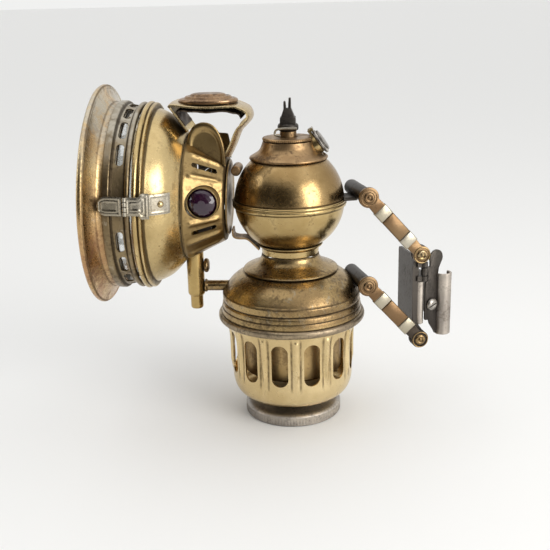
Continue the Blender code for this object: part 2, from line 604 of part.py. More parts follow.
def build_burner():
    tube = [(0.0, 97.0), (2.2, 97.0), (2.2, 86.0), (4.1, 85.0), (4.1, 59.6), (3.6, 59.1),
            (3.0, 59.0), (3.0, 52.5), (0.0, 52.5)]
    turned("burner_tube", tube, "bright_brass", location=(TUBE_X, 0.0, 0.0), steps=24, loop=False)
    pipe = [(0.0, 11.3), (2.5, 11.3), (2.5, 0.0), (0.0, 0.0)]
    turned("gas_pipe", pipe, "aged_brass", location=(TUBE_X + 4.4 * MM, 0.0, PIPE_Z),
           rotation=(0.0, math.pi / 2, 0.0), steps=20, loop=False)
    plug = [(0.0, 2.3), (2.4, 2.3), (3.4, 1.6), (3.4, 0.6), (3.0, 0.0), (0.0, 0.0)]
    turned("cleaning_plug", plug, "aged_brass", location=(TUBE_X + 4.4 * MM, 0.0, PLUG_Z),
           rotation=(0.0, math.pi / 2, 0.0), steps=24, loop=False)
    base = [(0.0, 101.6), (2.4, 101.6), (2.9, 100.8), (2.9, 98.2), (2.2, 97.4), (0.0, 97.4)]
    jet = turned("twin_jet_burner", base, "soapstone", location=(TUBE_X, 0, 0), steps=16, loop=False)
    for word, side in (("near", -1), ("far", 1)):
        arm = cylinder("jet_arm_" + word, 1.5 * MM, (TUBE_X, side * 0.4 * MM, 100.4 * MM),
                       (TUBE_X, side * 5.5 * MM, 106.4 * MM), None, steps=12, end_radius=1.1 * MM)
        boolean(jet, arm, 'UNION')


def build_head_mounts():
    path = [(-26.8, 92.0), (-26.6, 88.6), (-24.0, 87.8), (-20.5, 87.6), (-16.6, 84.4),
            (-14.5, 82.2)]
    strip("head_strap", path, 8 * MM, "dark_iron", wall=0.8 * MM, offset=0.0)
    roll = cylinder("head_hook", 2.3 * MM, (-24.0 * MM, -6.0 * MM, 120.0 * MM),
                    (-24.0 * MM, 6.0 * MM, 120.0 * MM), "dark_iron", steps=20)
    leaf = box("hook_leaf", (-26.3 * MM, -4.0 * MM, 120.0 * MM),
               (-25.4 * MM, 4.0 * MM, 125.0 * MM), None)
    boolean(roll, leaf, 'UNION')


# ---------------------------------------------------------------- cycle bracket

def build_barrels(bracket):
    tank_side = ellipse_profile(TANK_RADIUS + 0.4 * MM, TANK_MID_Z, TANK_TOP_HEIGHT + 0.4 * MM,
                                60, -10, 12)
    tank_room = turned("tank_room", [(0.0, 128.0), *tank_side, (0.0, 100.0)], None, loop=False)
    seam_room = turned("seam_room", [(0.0, 106.9), (27.1, 106.9), (27.1, 102.0), (0.0, 102.0)],
                       None, loop=False)
    dome_side = [(0.0, 72.9), (20.2, 72.4), (22.8, 71.9), (26.1, 70.1), (29.1, 67.5), (31.4, 64.4),
                 (33.3, 61.6), (33.3, 58.0), (0.0, 58.0)]
    dome_room = turned("dome_room", dome_side, None, loop=False)
    sleeve = [(3.0, 25.4), (3.5, 24.9), (3.5, 0.5), (3.0, 0.0), (1.8, 0.0), (1.8, 25.4)]
    for word, height, room, reach in (("upper", UPPER_PIVOT_Z, tank_room, 9.0),
                                      ("lower", LOWER_PIVOT_Z, dome_room, 6.0)):
        shell = turned(word + "_barrel", sleeve, "grey_iron", frame=bracket,
                       location=(0.0, -12.7 * MM, height), rotation=(-math.pi / 2, 0.0, 0.0),
                       steps=24)
        lug = box(word + "_lug", (-reach * MM, -4.0 * MM, height - 3.3 * MM),
                  (-2.2 * MM, 6.0 * MM, height - 1.5 * MM), None, frame=bracket)
        boolean(shell, lug, 'UNION')
        boolean(shell, room)
        if word == "upper":
            boolean(shell, seam_room)


def build_links(bracket):
    length = math.hypot(LINK_REACH, LINK_DROP) / MM
    slope = math.atan2(LINK_DROP, LINK_REACH)
    bar = [*arc((0, 0), 4.7, 47, 313, 12), (10.0, -3.4), (length - 8.0, -3.4),
           *arc((length, 0), 4.2, -126, 126, 12), (length - 8.0, 3.4), (10.0, 3.4)]
    for word, height in (("upper", UPPER_PIVOT_Z), ("lower", LOWER_PIVOT_Z)):
        pivot = add_frame(word + "_link_pivot", (0.0, 0.0, height), (0.0, slope, 0.0), bracket)
        link = plate(word + "_link", [bar], LINK_WALL, "aged_brass", frame=pivot,
                     location=(0.0, LINK_SIDE, 0.0))
        for spot, where, reach in ((0.0, "front", -2.0), (length, "rear", -9.6)):
            pin = cylinder(word + "_" + where + "_pin", PIN_RADIUS,
                           (spot * MM, reach * MM, 0.0), (spot * MM, -15.7 * MM, 0.0), None,
                           frame=pivot, steps=16)
            head = cylinder(word + "_" + where + "_head", 2.5 * MM,
                            (spot * MM, -14.6 * MM, 0.0), (spot * MM, -16.0 * MM, 0.0), None,
                            frame=pivot, steps=16, end_radius=2.0 * MM)
            boolean(link, pin, 'UNION')
            boolean(link, head, 'UNION')


def build_clamp(bracket):
    base = LOWER_PIVOT_Z - LINK_DROP
    clamp = add_frame("clamp_pivot", (LINK_REACH, 0.0, UPPER_PIVOT_Z - LINK_DROP), parent=bracket)
    # Heights below are taken from the ground, so each piece is dropped by the pivot's height
    drop = (-LINK_REACH, 0.0, LINK_DROP - UPPER_PIVOT_Z)
    high = (UPPER_PIVOT_Z - LINK_DROP) / MM
    low = base / MM
    reach = LINK_REACH / MM
    ear_line = [*arc((reach, high), 4.2, 235, -60, 12), (25.6, high - 7.0), (25.6, low + 7.0),
                *arc((reach, low), 4.2, 60, -235, 12), (22.6, low + 7.0), (22.6, high - 7.0)]
    holes = [arc((reach, height), PIN_BORE / MM, 0, 337.5, 15) for height in (high, low)]
    frame = plate("clamp_frame", [ear_line, *holes], 1.2 * MM, "dark_iron", frame=clamp,
                  location=(drop[0], -11.1 * MM, drop[2]))
    back = box("clamp_back", (24.4 * MM, -11.5 * MM, 44.0 * MM), (25.6 * MM, 12.5 * MM, 78.0 * MM),
               None, frame=clamp, location=drop)
    boolean(frame, back, 'UNION')
    for word, bottom, top in (("low", 66.9, 69.4), ("high", 73.7, 76.0)):
        web = box("clamp_web_" + word, (24.6 * MM, -12.9 * MM, bottom * MM),
                  (28.2 * MM, -11.5 * MM, top * MM), None, frame=clamp, location=drop)
        knuckle = cylinder("clamp_knuckle_" + word, 1.6 * MM,
                           (JAW_AXIS[0], JAW_AXIS[1], bottom * MM),
                           (JAW_AXIS[0], JAW_AXIS[1], top * MM), None, frame=clamp, steps=16)
        knuckle.location = drop
        boolean(frame, web, 'UNION')
        boolean(frame, knuckle, 'UNION')

    pad_line = [(-9.9, 45.6), (-9.2, 45.0), (10.4, 45.0), (11.0, 45.6), (11.0, 66.1), (10.4, 66.7),
                (-9.2, 66.7), (-9.9, 66.1)]
    pad = plate("jaw_pad", [pad_line], 1.2 * MM, "nickel", frame=clamp,
                location=(26.6 * MM + drop[0], 0.0, drop[2]),
                rotation=(math.pi / 2, 0.0, math.pi / 2))
    roll = cylinder("pad_roll", 1.4 * MM, (27.45 * MM, -9.3 * MM, 45.7 * MM),
                    (27.45 * MM, -9.3 * MM, 65.9 * MM), None, frame=clamp, steps=15)
    roll.location = drop
    boolean(pad, roll, 'UNION')

    jaw = add_frame("jaw_pivot", (JAW_AXIS[0] + drop[0], JAW_AXIS[1], drop[2]), parent=clamp)
    web_line = [(0.6, 47.2), (3.0, 46.9), (3.6, 44.8), (6.2, 41.0), (7.0, 39.4), (8.2, 39.0),
                (8.2, 69.2), (8.6, 71.8), *arc((6.85, 77.0), 3.95, -35, 200, 12), (3.2, 73.4),
                (0.0, 73.4), (0.0, 69.7), (2.0, 69.7), (2.0, 66.4), (0.6, 65.8)]
    web = plate("outer_jaw", [web_line], 1.0 * MM, "dark_iron", frame=jaw,
                rotation=(math.pi / 2, 0.0, JAW_SET))
    lip_line = [*arc((11.1, 4.0), 4.0, 200, 395, 14), *arc((11.1, 4.0), 3.0, 395, 200, 14)]
    lip = plate("jaw_lip", [lip_line], 30.4 * MM, None, frame=jaw, location=(0, 0, 53.9 * MM),
                rotation=(0.0, 0.0, 0.0))
    knuckle = cylinder("jaw_knuckle", 1.6 * MM, (0, 0, 69.7 * MM), (0, 0, 73.4 * MM), None,
                       frame=jaw, steps=16)
    grip = box("jaw_grip", (5.2 * MM, 1.8 * MM, 47.0 * MM), (6.2 * MM, 21.2 * MM, 66.0 * MM), None,
               frame=jaw)
    for tool in (lip, knuckle, grip):
        boolean(web, tool, 'UNION')

    out = Vector((math.sin(JAW_SET), -math.cos(JAW_SET), 0.0))
    spot = Vector((3.9 * MM, 1.38 * MM, 54.7 * MM))
    screw_room = cylinder("screw_room", 2.0 * MM, spot - out * 3 * MM, spot + out * 3 * MM, None,
                          frame=jaw, steps=20)
    boolean(web, screw_room)
    screw_pivot = add_frame("screw_pivot", spot, (math.pi / 2, 0.0, JAW_SET), parent=jaw)
    screw = [(0.0, 2.5), (1.6, 2.5), (2.7, 2.0), (3.0, 1.3), (3.0, 0.8), (1.5, 0.8), (1.5, -2.6),
             (0.0, -2.6)]
    turned("clamp_screw", screw, "nickel", frame=screw_pivot, steps=20, loop=False)


# ---------------------------------------------------------------- assembly

clear_scene()
PARTS = new_collection("carbide_lamp")
CUTTERS = new_collection("cutters")
MATERIALS = {name: make_material(name) for name in PALETTE}

build_tank()
build_filler()
build_valve()
build_dome()
build_cage()
build_carriage()

head_frame = add_frame("head_frame", HEAD_ORIGIN, (0.0, HEAD_RISE, 0.0))
build_door(head_frame)
build_latch(head_frame)
build_head(head_frame)
build_chimney()
build_burner()
build_head_mounts()

bracket_frame = add_frame("bracket_frame", BRACKET_ORIGIN, (0.0, 0.0, BRACKET_YAW))
build_barrels(bracket_frame)
build_links(bracket_frame)
build_clamp(bracket_frame)
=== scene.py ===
from math import atan2, copysign, cos, degrees, exp, hypot, pi, radians, sin, sqrt

import bmesh
import bpy
from mathutils import Matrix, Vector, noise


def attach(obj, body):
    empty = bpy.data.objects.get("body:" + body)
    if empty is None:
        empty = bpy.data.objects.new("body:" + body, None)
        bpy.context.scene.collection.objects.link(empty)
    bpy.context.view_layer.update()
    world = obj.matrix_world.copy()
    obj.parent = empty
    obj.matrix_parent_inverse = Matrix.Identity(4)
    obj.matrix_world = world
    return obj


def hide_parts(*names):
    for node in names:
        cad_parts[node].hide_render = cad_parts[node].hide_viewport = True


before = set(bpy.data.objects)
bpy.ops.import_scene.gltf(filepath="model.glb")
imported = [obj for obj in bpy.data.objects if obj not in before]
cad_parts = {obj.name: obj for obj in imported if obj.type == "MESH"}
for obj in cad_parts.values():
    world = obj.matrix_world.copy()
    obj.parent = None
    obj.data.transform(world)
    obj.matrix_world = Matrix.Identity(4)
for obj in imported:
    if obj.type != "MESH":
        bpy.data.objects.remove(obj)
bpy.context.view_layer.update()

MM = 0.001
TAU = 2 * pi


def at(x, y, z):
    """A shift given in millimetres."""
    return Matrix.Translation(Vector((x, y, z)) * MM)


def turned(angle, axis):
    """A rotation given in degrees."""
    return Matrix.Rotation(radians(angle), 4, axis)


def unit(value):
    """The value held between 0 and 1."""
    return min(1.0, max(0.0, value))


def oblong(left, low, right, high):
    return [(left, low), (right, low), (right, high), (left, high)]


# ------------------------------------------------------------------ frames, as in the CAD
UPRIGHT = Matrix.Identity(4)
HEAD_FRAME = at(-50.0, 0.0, 107.7) @ turned(2, 'Y')
HEAD = HEAD_FRAME @ turned(-90, 'Y')        # local Z runs forward
FILLER = at(14.2, 0.0, 132.0) @ turned(55, 'Y')
BRACKET = at(32.3, -0.7, 0.0) @ turned(16, 'Z')
TUBE = at(-45.7, 0.0, 0.0)
LINK_SLOPE = atan2(28.7, 25.8)
LINK_LENGTH = hypot(28.7, 25.8)
JAW = BRACKET @ at(28.2, -12.2, 0.0)
JAW_SET = radians(19.5)                 # the outer jaw stands this far open

MILL_STEPS = 400                        # points round a milled edge
SLOT_COUNT = 12                         # round the carbide cage
CAGE_RADIUS = 29.1
SLOT_PHASE = radians(-99)
REAR_PINS = (80.3, 38.7)                # heights of the clamp's two pins


# ------------------------------------------------------------------ materials
class Graph:
    """Small helper that strings shader nodes together."""

    def __init__(self, name):
        self.material = bpy.data.materials.new(name)
        self.material.use_nodes = True
        self.tree = self.material.node_tree
        self.shader = self.tree.nodes["Principled BSDF"]

    def put(self, socket, value):
        if isinstance(value, bpy.types.NodeSocket):
            self.tree.links.new(value, socket)
        elif hasattr(socket.default_value, "__len__") and not hasattr(value, "__len__"):
            socket.default_value = [value] * len(socket.default_value)
        elif hasattr(value, "__len__") and len(socket.default_value) == 4:
            socket.default_value = (*value[:3], 1.0)
        else:
            socket.default_value = value

    def position(self):
        coordinates = self.tree.nodes.new("ShaderNodeTexCoord")
        scale = self.tree.nodes.new("ShaderNodeVectorMath")
        scale.operation = 'SCALE'
        self.tree.links.new(coordinates.outputs["Object"], scale.inputs[0])
        scale.inputs["Scale"].default_value = 1000.0
        return scale.outputs[0]

    def noise(self, vector, scale, detail=4.0, rough=0.55, distortion=0.0):
        node = self.tree.nodes.new("ShaderNodeTexNoise")
        self.put(node.inputs["Vector"], vector)
        node.inputs["Scale"].default_value = scale
        node.inputs["Detail"].default_value = detail
        node.inputs["Roughness"].default_value = rough
        node.inputs["Distortion"].default_value = distortion
        return node.outputs["Fac"]

    def math(self, operation, first, second=0.0, clamp=False):
        node = self.tree.nodes.new("ShaderNodeMath")
        node.operation = operation
        node.use_clamp = clamp
        self.put(node.inputs[0], first)
        self.put(node.inputs[1], second)
        return node.outputs[0]

    def times(self, first, second):
        return self.math('MULTIPLY', first, second)

    def plus(self, first, second, clamp=False):
        return self.math('ADD', first, second, clamp)

    def weigh(self, first, share, second, other):
        return self.plus(self.times(first, share), self.times(second, other))

    def range(self, value, low, high, out_low=0.0, out_high=1.0):
        node = self.tree.nodes.new("ShaderNodeMapRange")
        node.interpolation_type = 'SMOOTHSTEP'
        self.put(node.inputs["Value"], value)
        node.inputs["From Min"].default_value = low
        node.inputs["From Max"].default_value = high
        node.inputs["To Min"].default_value = out_low
        node.inputs["To Max"].default_value = out_high
        return node.outputs["Result"]

    def mix(self, factor, first, second, blend='MIX'):
        node = self.tree.nodes.new("ShaderNodeMix")
        node.data_type = 'RGBA'
        node.blend_type = blend
        self.put(node.inputs[0], factor)
        self.put(node.inputs[6], first)
        self.put(node.inputs[7], second)
        return node.outputs[2]

    def dot(self, vector, axis):
        node = self.tree.nodes.new("ShaderNodeVectorMath")
        node.operation = 'DOT_PRODUCT'
        self.put(node.inputs[0], vector)
        node.inputs[1].default_value = axis
        return node.outputs["Value"]

    def stack(self, x, y, z):
        node = self.tree.nodes.new("ShaderNodeCombineXYZ")
        self.put(node.inputs[0], x)
        self.put(node.inputs[1], y)
        self.put(node.inputs[2], z)
        return node.outputs[0]

    def bump(self, height, strength, distance):
        node = self.tree.nodes.new("ShaderNodeBump")
        node.inputs["Strength"].default_value = strength
        node.inputs["Distance"].default_value = distance
        self.put(node.inputs["Height"], height)
        self.tree.links.new(node.outputs[0], self.shader.inputs["Normal"])

    def crevice_shade(self, reach):
        # Ambient occlusion, turned into a mask for painted shade in creases.
        node = self.tree.nodes.new("ShaderNodeAmbientOcclusion")
        node.samples = 6
        node.inputs["Distance"].default_value = reach
        return self.math('SUBTRACT', 1.0, node.outputs["AO"], clamp=True)

    def edge(self):
        return self.tree.nodes.new("ShaderNodeNewGeometry").outputs["Pointiness"]


MAT = {}


def metal(name, bright, mid, dark, rough, tarnish, spots=0.35, crease_grime_and_shade=0.6, wear=0.5, spin=None, stain=None,
        blots=0.0, level=0.5, dents=0.3, lines=(), extra=None, shade=1.0, patina=None):
    """Old handled metal: broad tone changes, patches, pits, grime with painted shade in creases and rubbed
    edges.
    """
    bright, mid, dark = (tuple(c * shade for c in tone) for tone in (bright, mid, dark))
    g = Graph(name)
    p = g.position()
    broad = g.noise(p, 0.030, 3.0)
    patch = g.noise(p, 0.11, 9.0, 0.66, 0.8)
    speck = g.noise(p, 0.75, 6.0, 0.6)
    fine = g.noise(p, 3.2, 3.0, 0.6)
    tone = g.weigh(broad, 0.7, patch, 0.3)
    colour = g.mix(g.range(tone, level - 0.10, level + 0.12), mid, bright)
    film = g.weigh(patch, 0.6, speck, 0.4)
    film = g.range(film, 0.60 - 0.22 * tarnish, 0.72 - 0.16 * tarnish)
    film = g.times(film, min(1.0, tarnish * 1.3))
    colour = g.mix(film, colour, dark)
    pits = g.range(g.weigh(speck, 0.6, fine, 0.4), 0.60, 0.66)
    pits = g.times(pits, spots)
    colour = g.mix(pits, colour, tuple(0.45 * c for c in dark))
    if stain:
        blot = g.noise(p, 0.16, 7.0, 0.7, 1.2)
        blot = g.times(g.range(blot, 0.56, 0.66), blots)
        colour = g.mix(blot, colour, stain)
    for tint, axis, start, full, amount in patina or ():
        mask = g.range(g.plus(g.dot(p, axis), g.times(patch, 0.6 * (full - start))), start, full)
        mask = g.times(mask, g.range(g.noise(p, 0.09, 6.0, 0.65, 0.6), 0.36, 0.60, 0.15, amount))
        colour = g.mix(mask, colour, tint)
    # Painted shade: ambient occlusion darkens creases and recesses, standing in for shade together with
    # grime.
    dirt_and_shade = g.times(g.range(g.crevice_shade(0.0040), 0.12, 0.62), crease_grime_and_shade)
    ragged = g.weigh(patch, 0.9, speck, 0.5)
    for place, width, amount in lines:
        gap = g.math('ABSOLUTE', g.math('SUBTRACT', g.dot(p, spin), place))
        near = g.range(g.math('DIVIDE', gap, g.times(ragged, width / 0.7)), 1.0, 0.25)
        dirt_and_shade = g.math('MAXIMUM', dirt_and_shade, g.times(near, amount))
    if extra:
        dirt_and_shade = g.math('MAXIMUM', dirt_and_shade, extra(g, p, ragged))
    # The dark seam lines, the cage rib bands and the painted crease shade darken the colour here.
    colour = g.mix(dirt_and_shade, colour, tuple(0.40 * c for c in dark))
    rub = g.times(g.range(g.edge(), 0.515, 0.60), wear)
    colour = g.mix(rub, colour, tuple(min(1.0, 1.12 * c) for c in bright))
    g.put(g.shader.inputs["Base Color"], colour)
    g.shader.inputs["Metallic"].default_value = 1.0
    roughness = g.weigh(film, 0.22, pits, 0.25)
    roughness = g.plus(roughness, g.times(dirt_and_shade, 0.30))
    roughness = g.plus(roughness, g.times(speck, 0.14))
    g.put(g.shader.inputs["Roughness"], g.plus(roughness, rough - 0.07, clamp=True))
    height = g.weigh(speck, 0.35, fine, 0.10)
    height = g.plus(height, g.times(patch, dents))
    if spin:
        along = g.dot(p, spin)
        rings = g.noise(g.stack(0.0, 0.0, along), 1.6, 4.0, 0.7)
        height = g.plus(height, g.times(rings, 0.16))
    height = g.math('SUBTRACT', height, g.times(pits, 0.4))
    g.bump(height, 0.55, 0.00022)
    MAT[name] = g.material


def rib_side_bands(g, p, ragged):
    """Darker bands along both sides of each pressed rib of the cage."""
    split = g.tree.nodes.new("ShaderNodeSeparateXYZ")
    g.tree.links.new(p, split.inputs[0])
    turn = g.math('ARCTAN2', split.outputs["Y"], split.outputs["X"])
    turn = g.math('FRACT', g.plus(g.math('DIVIDE', g.plus(turn, -SLOT_PHASE), TAU / SLOT_COUNT), 12.0))
    across = g.times(g.math('ABSOLUTE', g.math('SUBTRACT', turn, 0.5)), TAU / SLOT_COUNT * CAGE_RADIUS)
    near = g.range(g.math('ABSOLUTE', g.math('SUBTRACT', across, 2.1)), 0.9, 0.1)
    height = g.times(g.range(split.outputs["Z"], 19.0, 23.0), g.range(split.outputs["Z"], 47.5, 44.0))
    mask = g.times(g.times(near, height), g.range(ragged, 0.45, 0.85, 0.35, 1.0))
    return g.times(mask, 0.85)


UP_AXIS = (0.0, 0.0, 1.0)                 # brush lines run round this axis
HEAD_AXIS = (-0.9994, 0.0, 0.0349)
CORROSION = (0.70, 0.62, 0.48)

metal("tank_top", (0.62, 0.43, 0.20), (0.38, 0.245, 0.10), (0.14, 0.085, 0.04), 0.24, 0.45, spin=UP_AXIS,
    level=0.52, lines=((106.7, 0.6, 0.8), (124.5, 0.8, 0.9)), shade=0.8)
metal("tank_low", (0.76, 0.57, 0.27), (0.54, 0.38, 0.16), (0.20, 0.13, 0.06), 0.23, 0.35, spin=UP_AXIS,
    lines=((103.0, 0.6, 0.9), (105.0, 0.25, 0.7), (85.2, 0.8, 0.8), (83.4, 0.5, 0.7)), shade=0.78)
metal("collar", (0.45, 0.30, 0.15), (0.27, 0.17, 0.085), (0.10, 0.065, 0.04), 0.36, 0.6, spin=UP_AXIS,
    shade=1.1)
metal("dome", (0.62, 0.44, 0.20), (0.37, 0.245, 0.115), (0.15, 0.105, 0.065), 0.26, 0.6, spin=UP_AXIS,
    stain=(0.34, 0.30, 0.22), blots=0.5, lines=((61.9, 0.4, 0.6), (58.1, 0.7, 0.9), (55.0, 0.5, 0.8),
    (72.4, 0.5, 0.9), (52.2, 0.7, 0.9), (79.6, 0.5, 0.8)), shade=0.72)
metal("ring", (0.48, 0.38, 0.24), (0.30, 0.235, 0.16), (0.13, 0.105, 0.08), 0.38, 0.6, spin=UP_AXIS,
    shade=1)
metal("cage", (0.86, 0.68, 0.38), (0.70, 0.53, 0.27), (0.32, 0.22, 0.11), 0.25, 0.22, spots=0.3, crease_grime_and_shade=0.85,
    wear=0.3, spin=UP_AXIS, lines=((48.0, 0.8, 0.8), (10.4, 0.7, 0.6)), extra=rib_side_bands, shade=0.93)
metal("canister", (0.62, 0.44, 0.21), (0.45, 0.31, 0.14), (0.22, 0.14, 0.07), 0.42, 0.5)
metal("foot", (0.30, 0.27, 0.235), (0.18, 0.165, 0.15), (0.08, 0.072, 0.065), 0.42, 0.5, spin=UP_AXIS,
    wear=0.6, shade=1.9)
metal("flare", (0.80, 0.61, 0.31), (0.50, 0.345, 0.16), (0.19, 0.115, 0.06), 0.27, 0.6, spin=HEAD_AXIS,
    stain=CORROSION, blots=0.35, lines=((80.0, 1.0, 0.8), (84.3, 0.5, 0.5), (88.2, 0.5, 0.7)), shade=1.15,
    patina=(((0.34, 0.115, 0.065), (-0.5, 0, -0.86), -38, -58, 0.0), ((0.36, 0.14, 0.08), (0.0, 0, -1.0),
    -112, -72, 0.5), ((0.50, 0.47, 0.40), (0.0, 0, 1.0), 130, 152, 0.8)))
metal("vent", (0.62, 0.47, 0.26), (0.40, 0.29, 0.155), (0.17, 0.12, 0.075), 0.34, 0.55, spin=HEAD_AXIS,
    stain=CORROSION, blots=0.3, lines=((72.6, 0.7, 0.8), (78.0, 0.8, 0.8), (69.7, 0.5, 0.8)), shade=0.5,
    patina=(((0.55, 0.52, 0.44), (0.0, 0, 1.0), 132, 152, 0.7),))
metal("drum", (0.75, 0.57, 0.28), (0.50, 0.36, 0.16), (0.18, 0.12, 0.055), 0.25, 0.38, spin=HEAD_AXIS,
    lines=((66.6, 0.5, 0.9), (64.4, 0.8, 0.9), (69.2, 0.4, 0.7), (50.6, 0.8, 0.9)), shade=0.86)
metal("cone", (0.66, 0.46, 0.20), (0.45, 0.30, 0.13), (0.16, 0.10, 0.05), 0.30, 0.5, crease_grime_and_shade=0.8,
    spin=HEAD_AXIS, lines=((50.0, 0.7, 0.9), (32.6, 0.7, 0.8)), shade=0.54)
metal("hood", (0.86, 0.68, 0.37), (0.60, 0.42, 0.20), (0.22, 0.14, 0.075), 0.27, 0.4, wear=0.8, shade=0.75)
metal("copper", (0.74, 0.50, 0.30), (0.52, 0.31, 0.17), (0.24, 0.15, 0.10), 0.28, 0.7, wear=0.7, shade=0.55)
metal("soot", (0.13, 0.10, 0.075), (0.06, 0.048, 0.038), (0.03, 0.024, 0.02), 0.55, 0.5, wear=0.6)
metal("nickel", (0.80, 0.74, 0.62), (0.60, 0.52, 0.38), (0.26, 0.20, 0.13), 0.28, 0.4, wear=0.6, shade=0.55)
metal("ferrule", (0.92, 0.85, 0.70), (0.80, 0.70, 0.50), (0.40, 0.31, 0.20), 0.30, 0.25, wear=0.4,
    shade=0.5)
metal("link", (0.84, 0.56, 0.30), (0.66, 0.38, 0.19), (0.28, 0.15, 0.07), 0.32, 0.35, shade=0.27)
metal("steel", (0.30, 0.265, 0.23), (0.15, 0.13, 0.115), (0.055, 0.05, 0.047), 0.40, 0.45, wear=0.7,
    shade=0.3)
metal("pale_steel", (0.62, 0.58, 0.52), (0.40, 0.37, 0.33), (0.17, 0.155, 0.14), 0.34, 0.4, wear=0.6,
    shade=0.75)
metal("drum_inside", (0.34, 0.24, 0.12), (0.19, 0.13, 0.07), (0.08, 0.055, 0.035), 0.45, 0.6)
metal("lip", (0.50, 0.45, 0.39), (0.31, 0.275, 0.24), (0.12, 0.10, 0.085), 0.42, 0.5, wear=0.5, dents=0.8,
    shade=1.15)
metal("tube", (0.84, 0.62, 0.27), (0.62, 0.43, 0.17), (0.25, 0.16, 0.07), 0.25, 0.35, spin=UP_AXIS,
    shade=0.72)


def glass(name, colour, rough, transmission):
    g = Graph(name)
    p = g.position()
    dust = g.range(g.noise(p, 0.5, 6.0, 0.65), 0.48, 0.75)
    g.put(g.shader.inputs["Base Color"], g.mix(g.times(dust, 0.05), colour, (0.40, 0.34, 0.32)))
    g.shader.inputs["Transmission Weight"].default_value = transmission
    g.shader.inputs["IOR"].default_value = 1.52
    g.shader.inputs["Coat Weight"].default_value = 0.6 if transmission < 0.5 else 0.0
    g.shader.inputs["Coat Roughness"].default_value = 0.02
    g.put(g.shader.inputs["Roughness"], g.plus(g.times(dust, 0.08), rough))
    g.bump(g.noise(p, 0.35, 3.0), 0.12, 0.0002)
    MAT[name] = g.material


def dull(name, first, second, rough):
    g = Graph(name)
    p = g.position()
    g.put(g.shader.inputs["Base Color"], g.mix(g.range(g.noise(p, 0.4, 7.0), 0.35, 0.65), first, second))
    g.put(g.shader.inputs["Roughness"], g.plus(g.times(g.noise(p, 1.4, 3.0), 0.2), rough))
    g.bump(g.noise(p, 2.0, 4.0), 0.4, 0.0001)
    MAT[name] = g.material


glass("ruby", (0.022, 0.003, 0.018), 0.02, 0.12)
glass("green", (0.004, 0.030, 0.012), 0.02, 0.12)
glass("clear", (0.90, 0.93, 0.92), 0.03, 0.92)
dull("stone", (0.74, 0.70, 0.62), (0.52, 0.46, 0.38), 0.6)
dull("rubber", (0.05, 0.05, 0.05), (0.09, 0.085, 0.08), 0.7)


# ------------------------------------------------------------------ shape helpers
def soft(points, radius=0.4, count=4, closed=False):
    """Rounds the corners of a polyline in millimetres."""
    pts = [Vector(p) for p in points]
    out = []
    for i, here in enumerate(pts):
        if not closed and i in (0, len(pts) - 1):
            out.append(here)
            continue
        back, ahead = pts[i - 1] - here, pts[(i + 1) % len(pts)] - here
        cut = min(radius, 0.45 * back.length, 0.45 * ahead.length)
        if cut < 0.01 or back.angle(-ahead) < 0.06:
            out.append(here)
            continue
        first, last = here + back.normalized() * cut, here + ahead.normalized() * cut
        for s in range(count + 1):
            t = s / count
            out.append(first * (1 - t) ** 2 + here * 2 * t * (1 - t) + last * t * t)
    return [tuple(p) for p in out]


def spline(points, count=6):
    """Catmull-Rom curve through points."""
    pts = [Vector(p) for p in points]
    out = []
    for i in range(len(pts) - 1):
        a, b, c, d = pts[max(i - 1, 0)], pts[i], pts[i + 1], pts[min(i + 2, len(pts) - 1)]
        for s in range(count):
            t = s / count
            out.append(0.5 * (2 * b + (c - a) * t + (2 * a - 5 * b + 4 * c - d) * t * t
                + (3 * b - a - 3 * c + d) * t ** 3))
    out.append(pts[-1])
    return [tuple(p) for p in out]


def shell(points, wall):
    """Closed section from an outside line that runs down, thickened inward by wall."""
    pts = [Vector(p) for p in points]
    inner = []
    for i, here in enumerate(pts):
        before = (here - pts[i - 1]).normalized() if i else (pts[1] - here).normalized()
        after = (pts[i + 1] - here).normalized() if i < len(pts) - 1 else before
        way = (before + after).normalized()
        inner.append(here + Vector((way.y, -way.x)) * wall)
    inner = [(max(p[0], 0.0), p[1]) for p in inner]
    return [tuple(p) for p in pts] + inner[::-1]


def ellipse(radius, centre, height, start, end, count):
    points = []
    for step in range(count + 1):
        angle = radians(start + (end - start) * step / count)
        points.append((radius * cos(angle), centre + height * sin(angle)))
    return points


def piece(name, bm, mat, body, nodes=(), smooth=35, matrix=None):
    if matrix is not None:
        bm.transform(matrix)
    bmesh.ops.remove_doubles(bm, verts=bm.verts, dist=1e-7)
    bmesh.ops.dissolve_degenerate(bm, edges=bm.edges, dist=1e-8)
    bmesh.ops.recalc_face_normals(bm, faces=bm.faces)
    mesh = bpy.data.meshes.new(name)
    bm.to_mesh(mesh)
    bm.free()
    obj = bpy.data.objects.new(name, mesh)
    bpy.context.scene.collection.objects.link(obj)
    if mat is None:
        return obj
    mesh.shade_smooth()
    mesh.set_sharp_from_angle(angle=radians(smooth))
    mesh.materials.append(MAT[mat])
    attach(obj, body)
    if nodes:
        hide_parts(*([nodes] if isinstance(nodes, str) else nodes))
    return obj


def strip(bm, first, second, wrap=False):
    """Quads between two rows of vertices."""
    for k in range(len(first) if wrap else len(first) - 1):
        n = (k + 1) % len(first)
        bm.faces.new((first[k], second[k], second[n], first[n]))


def lathe_mesh(section, steps=128, closed=True, wave=None):
    """Spins a section of (radius, height) in millimetres round its Z axis."""
    bm = bmesh.new()
    rings = []
    for k in range(steps):
        angle = TAU * k / steps
        ring = []
        for i, (r, h) in enumerate(section):
            if wave:
                r, h = wave(angle, r, h, i)
            ring.append(bm.verts.new((r * cos(angle) * MM, r * sin(angle) * MM, h * MM)))
        rings.append(ring)
    for k in range(steps):
        strip(bm, rings[k], rings[(k + 1) % steps], closed)
    return bm


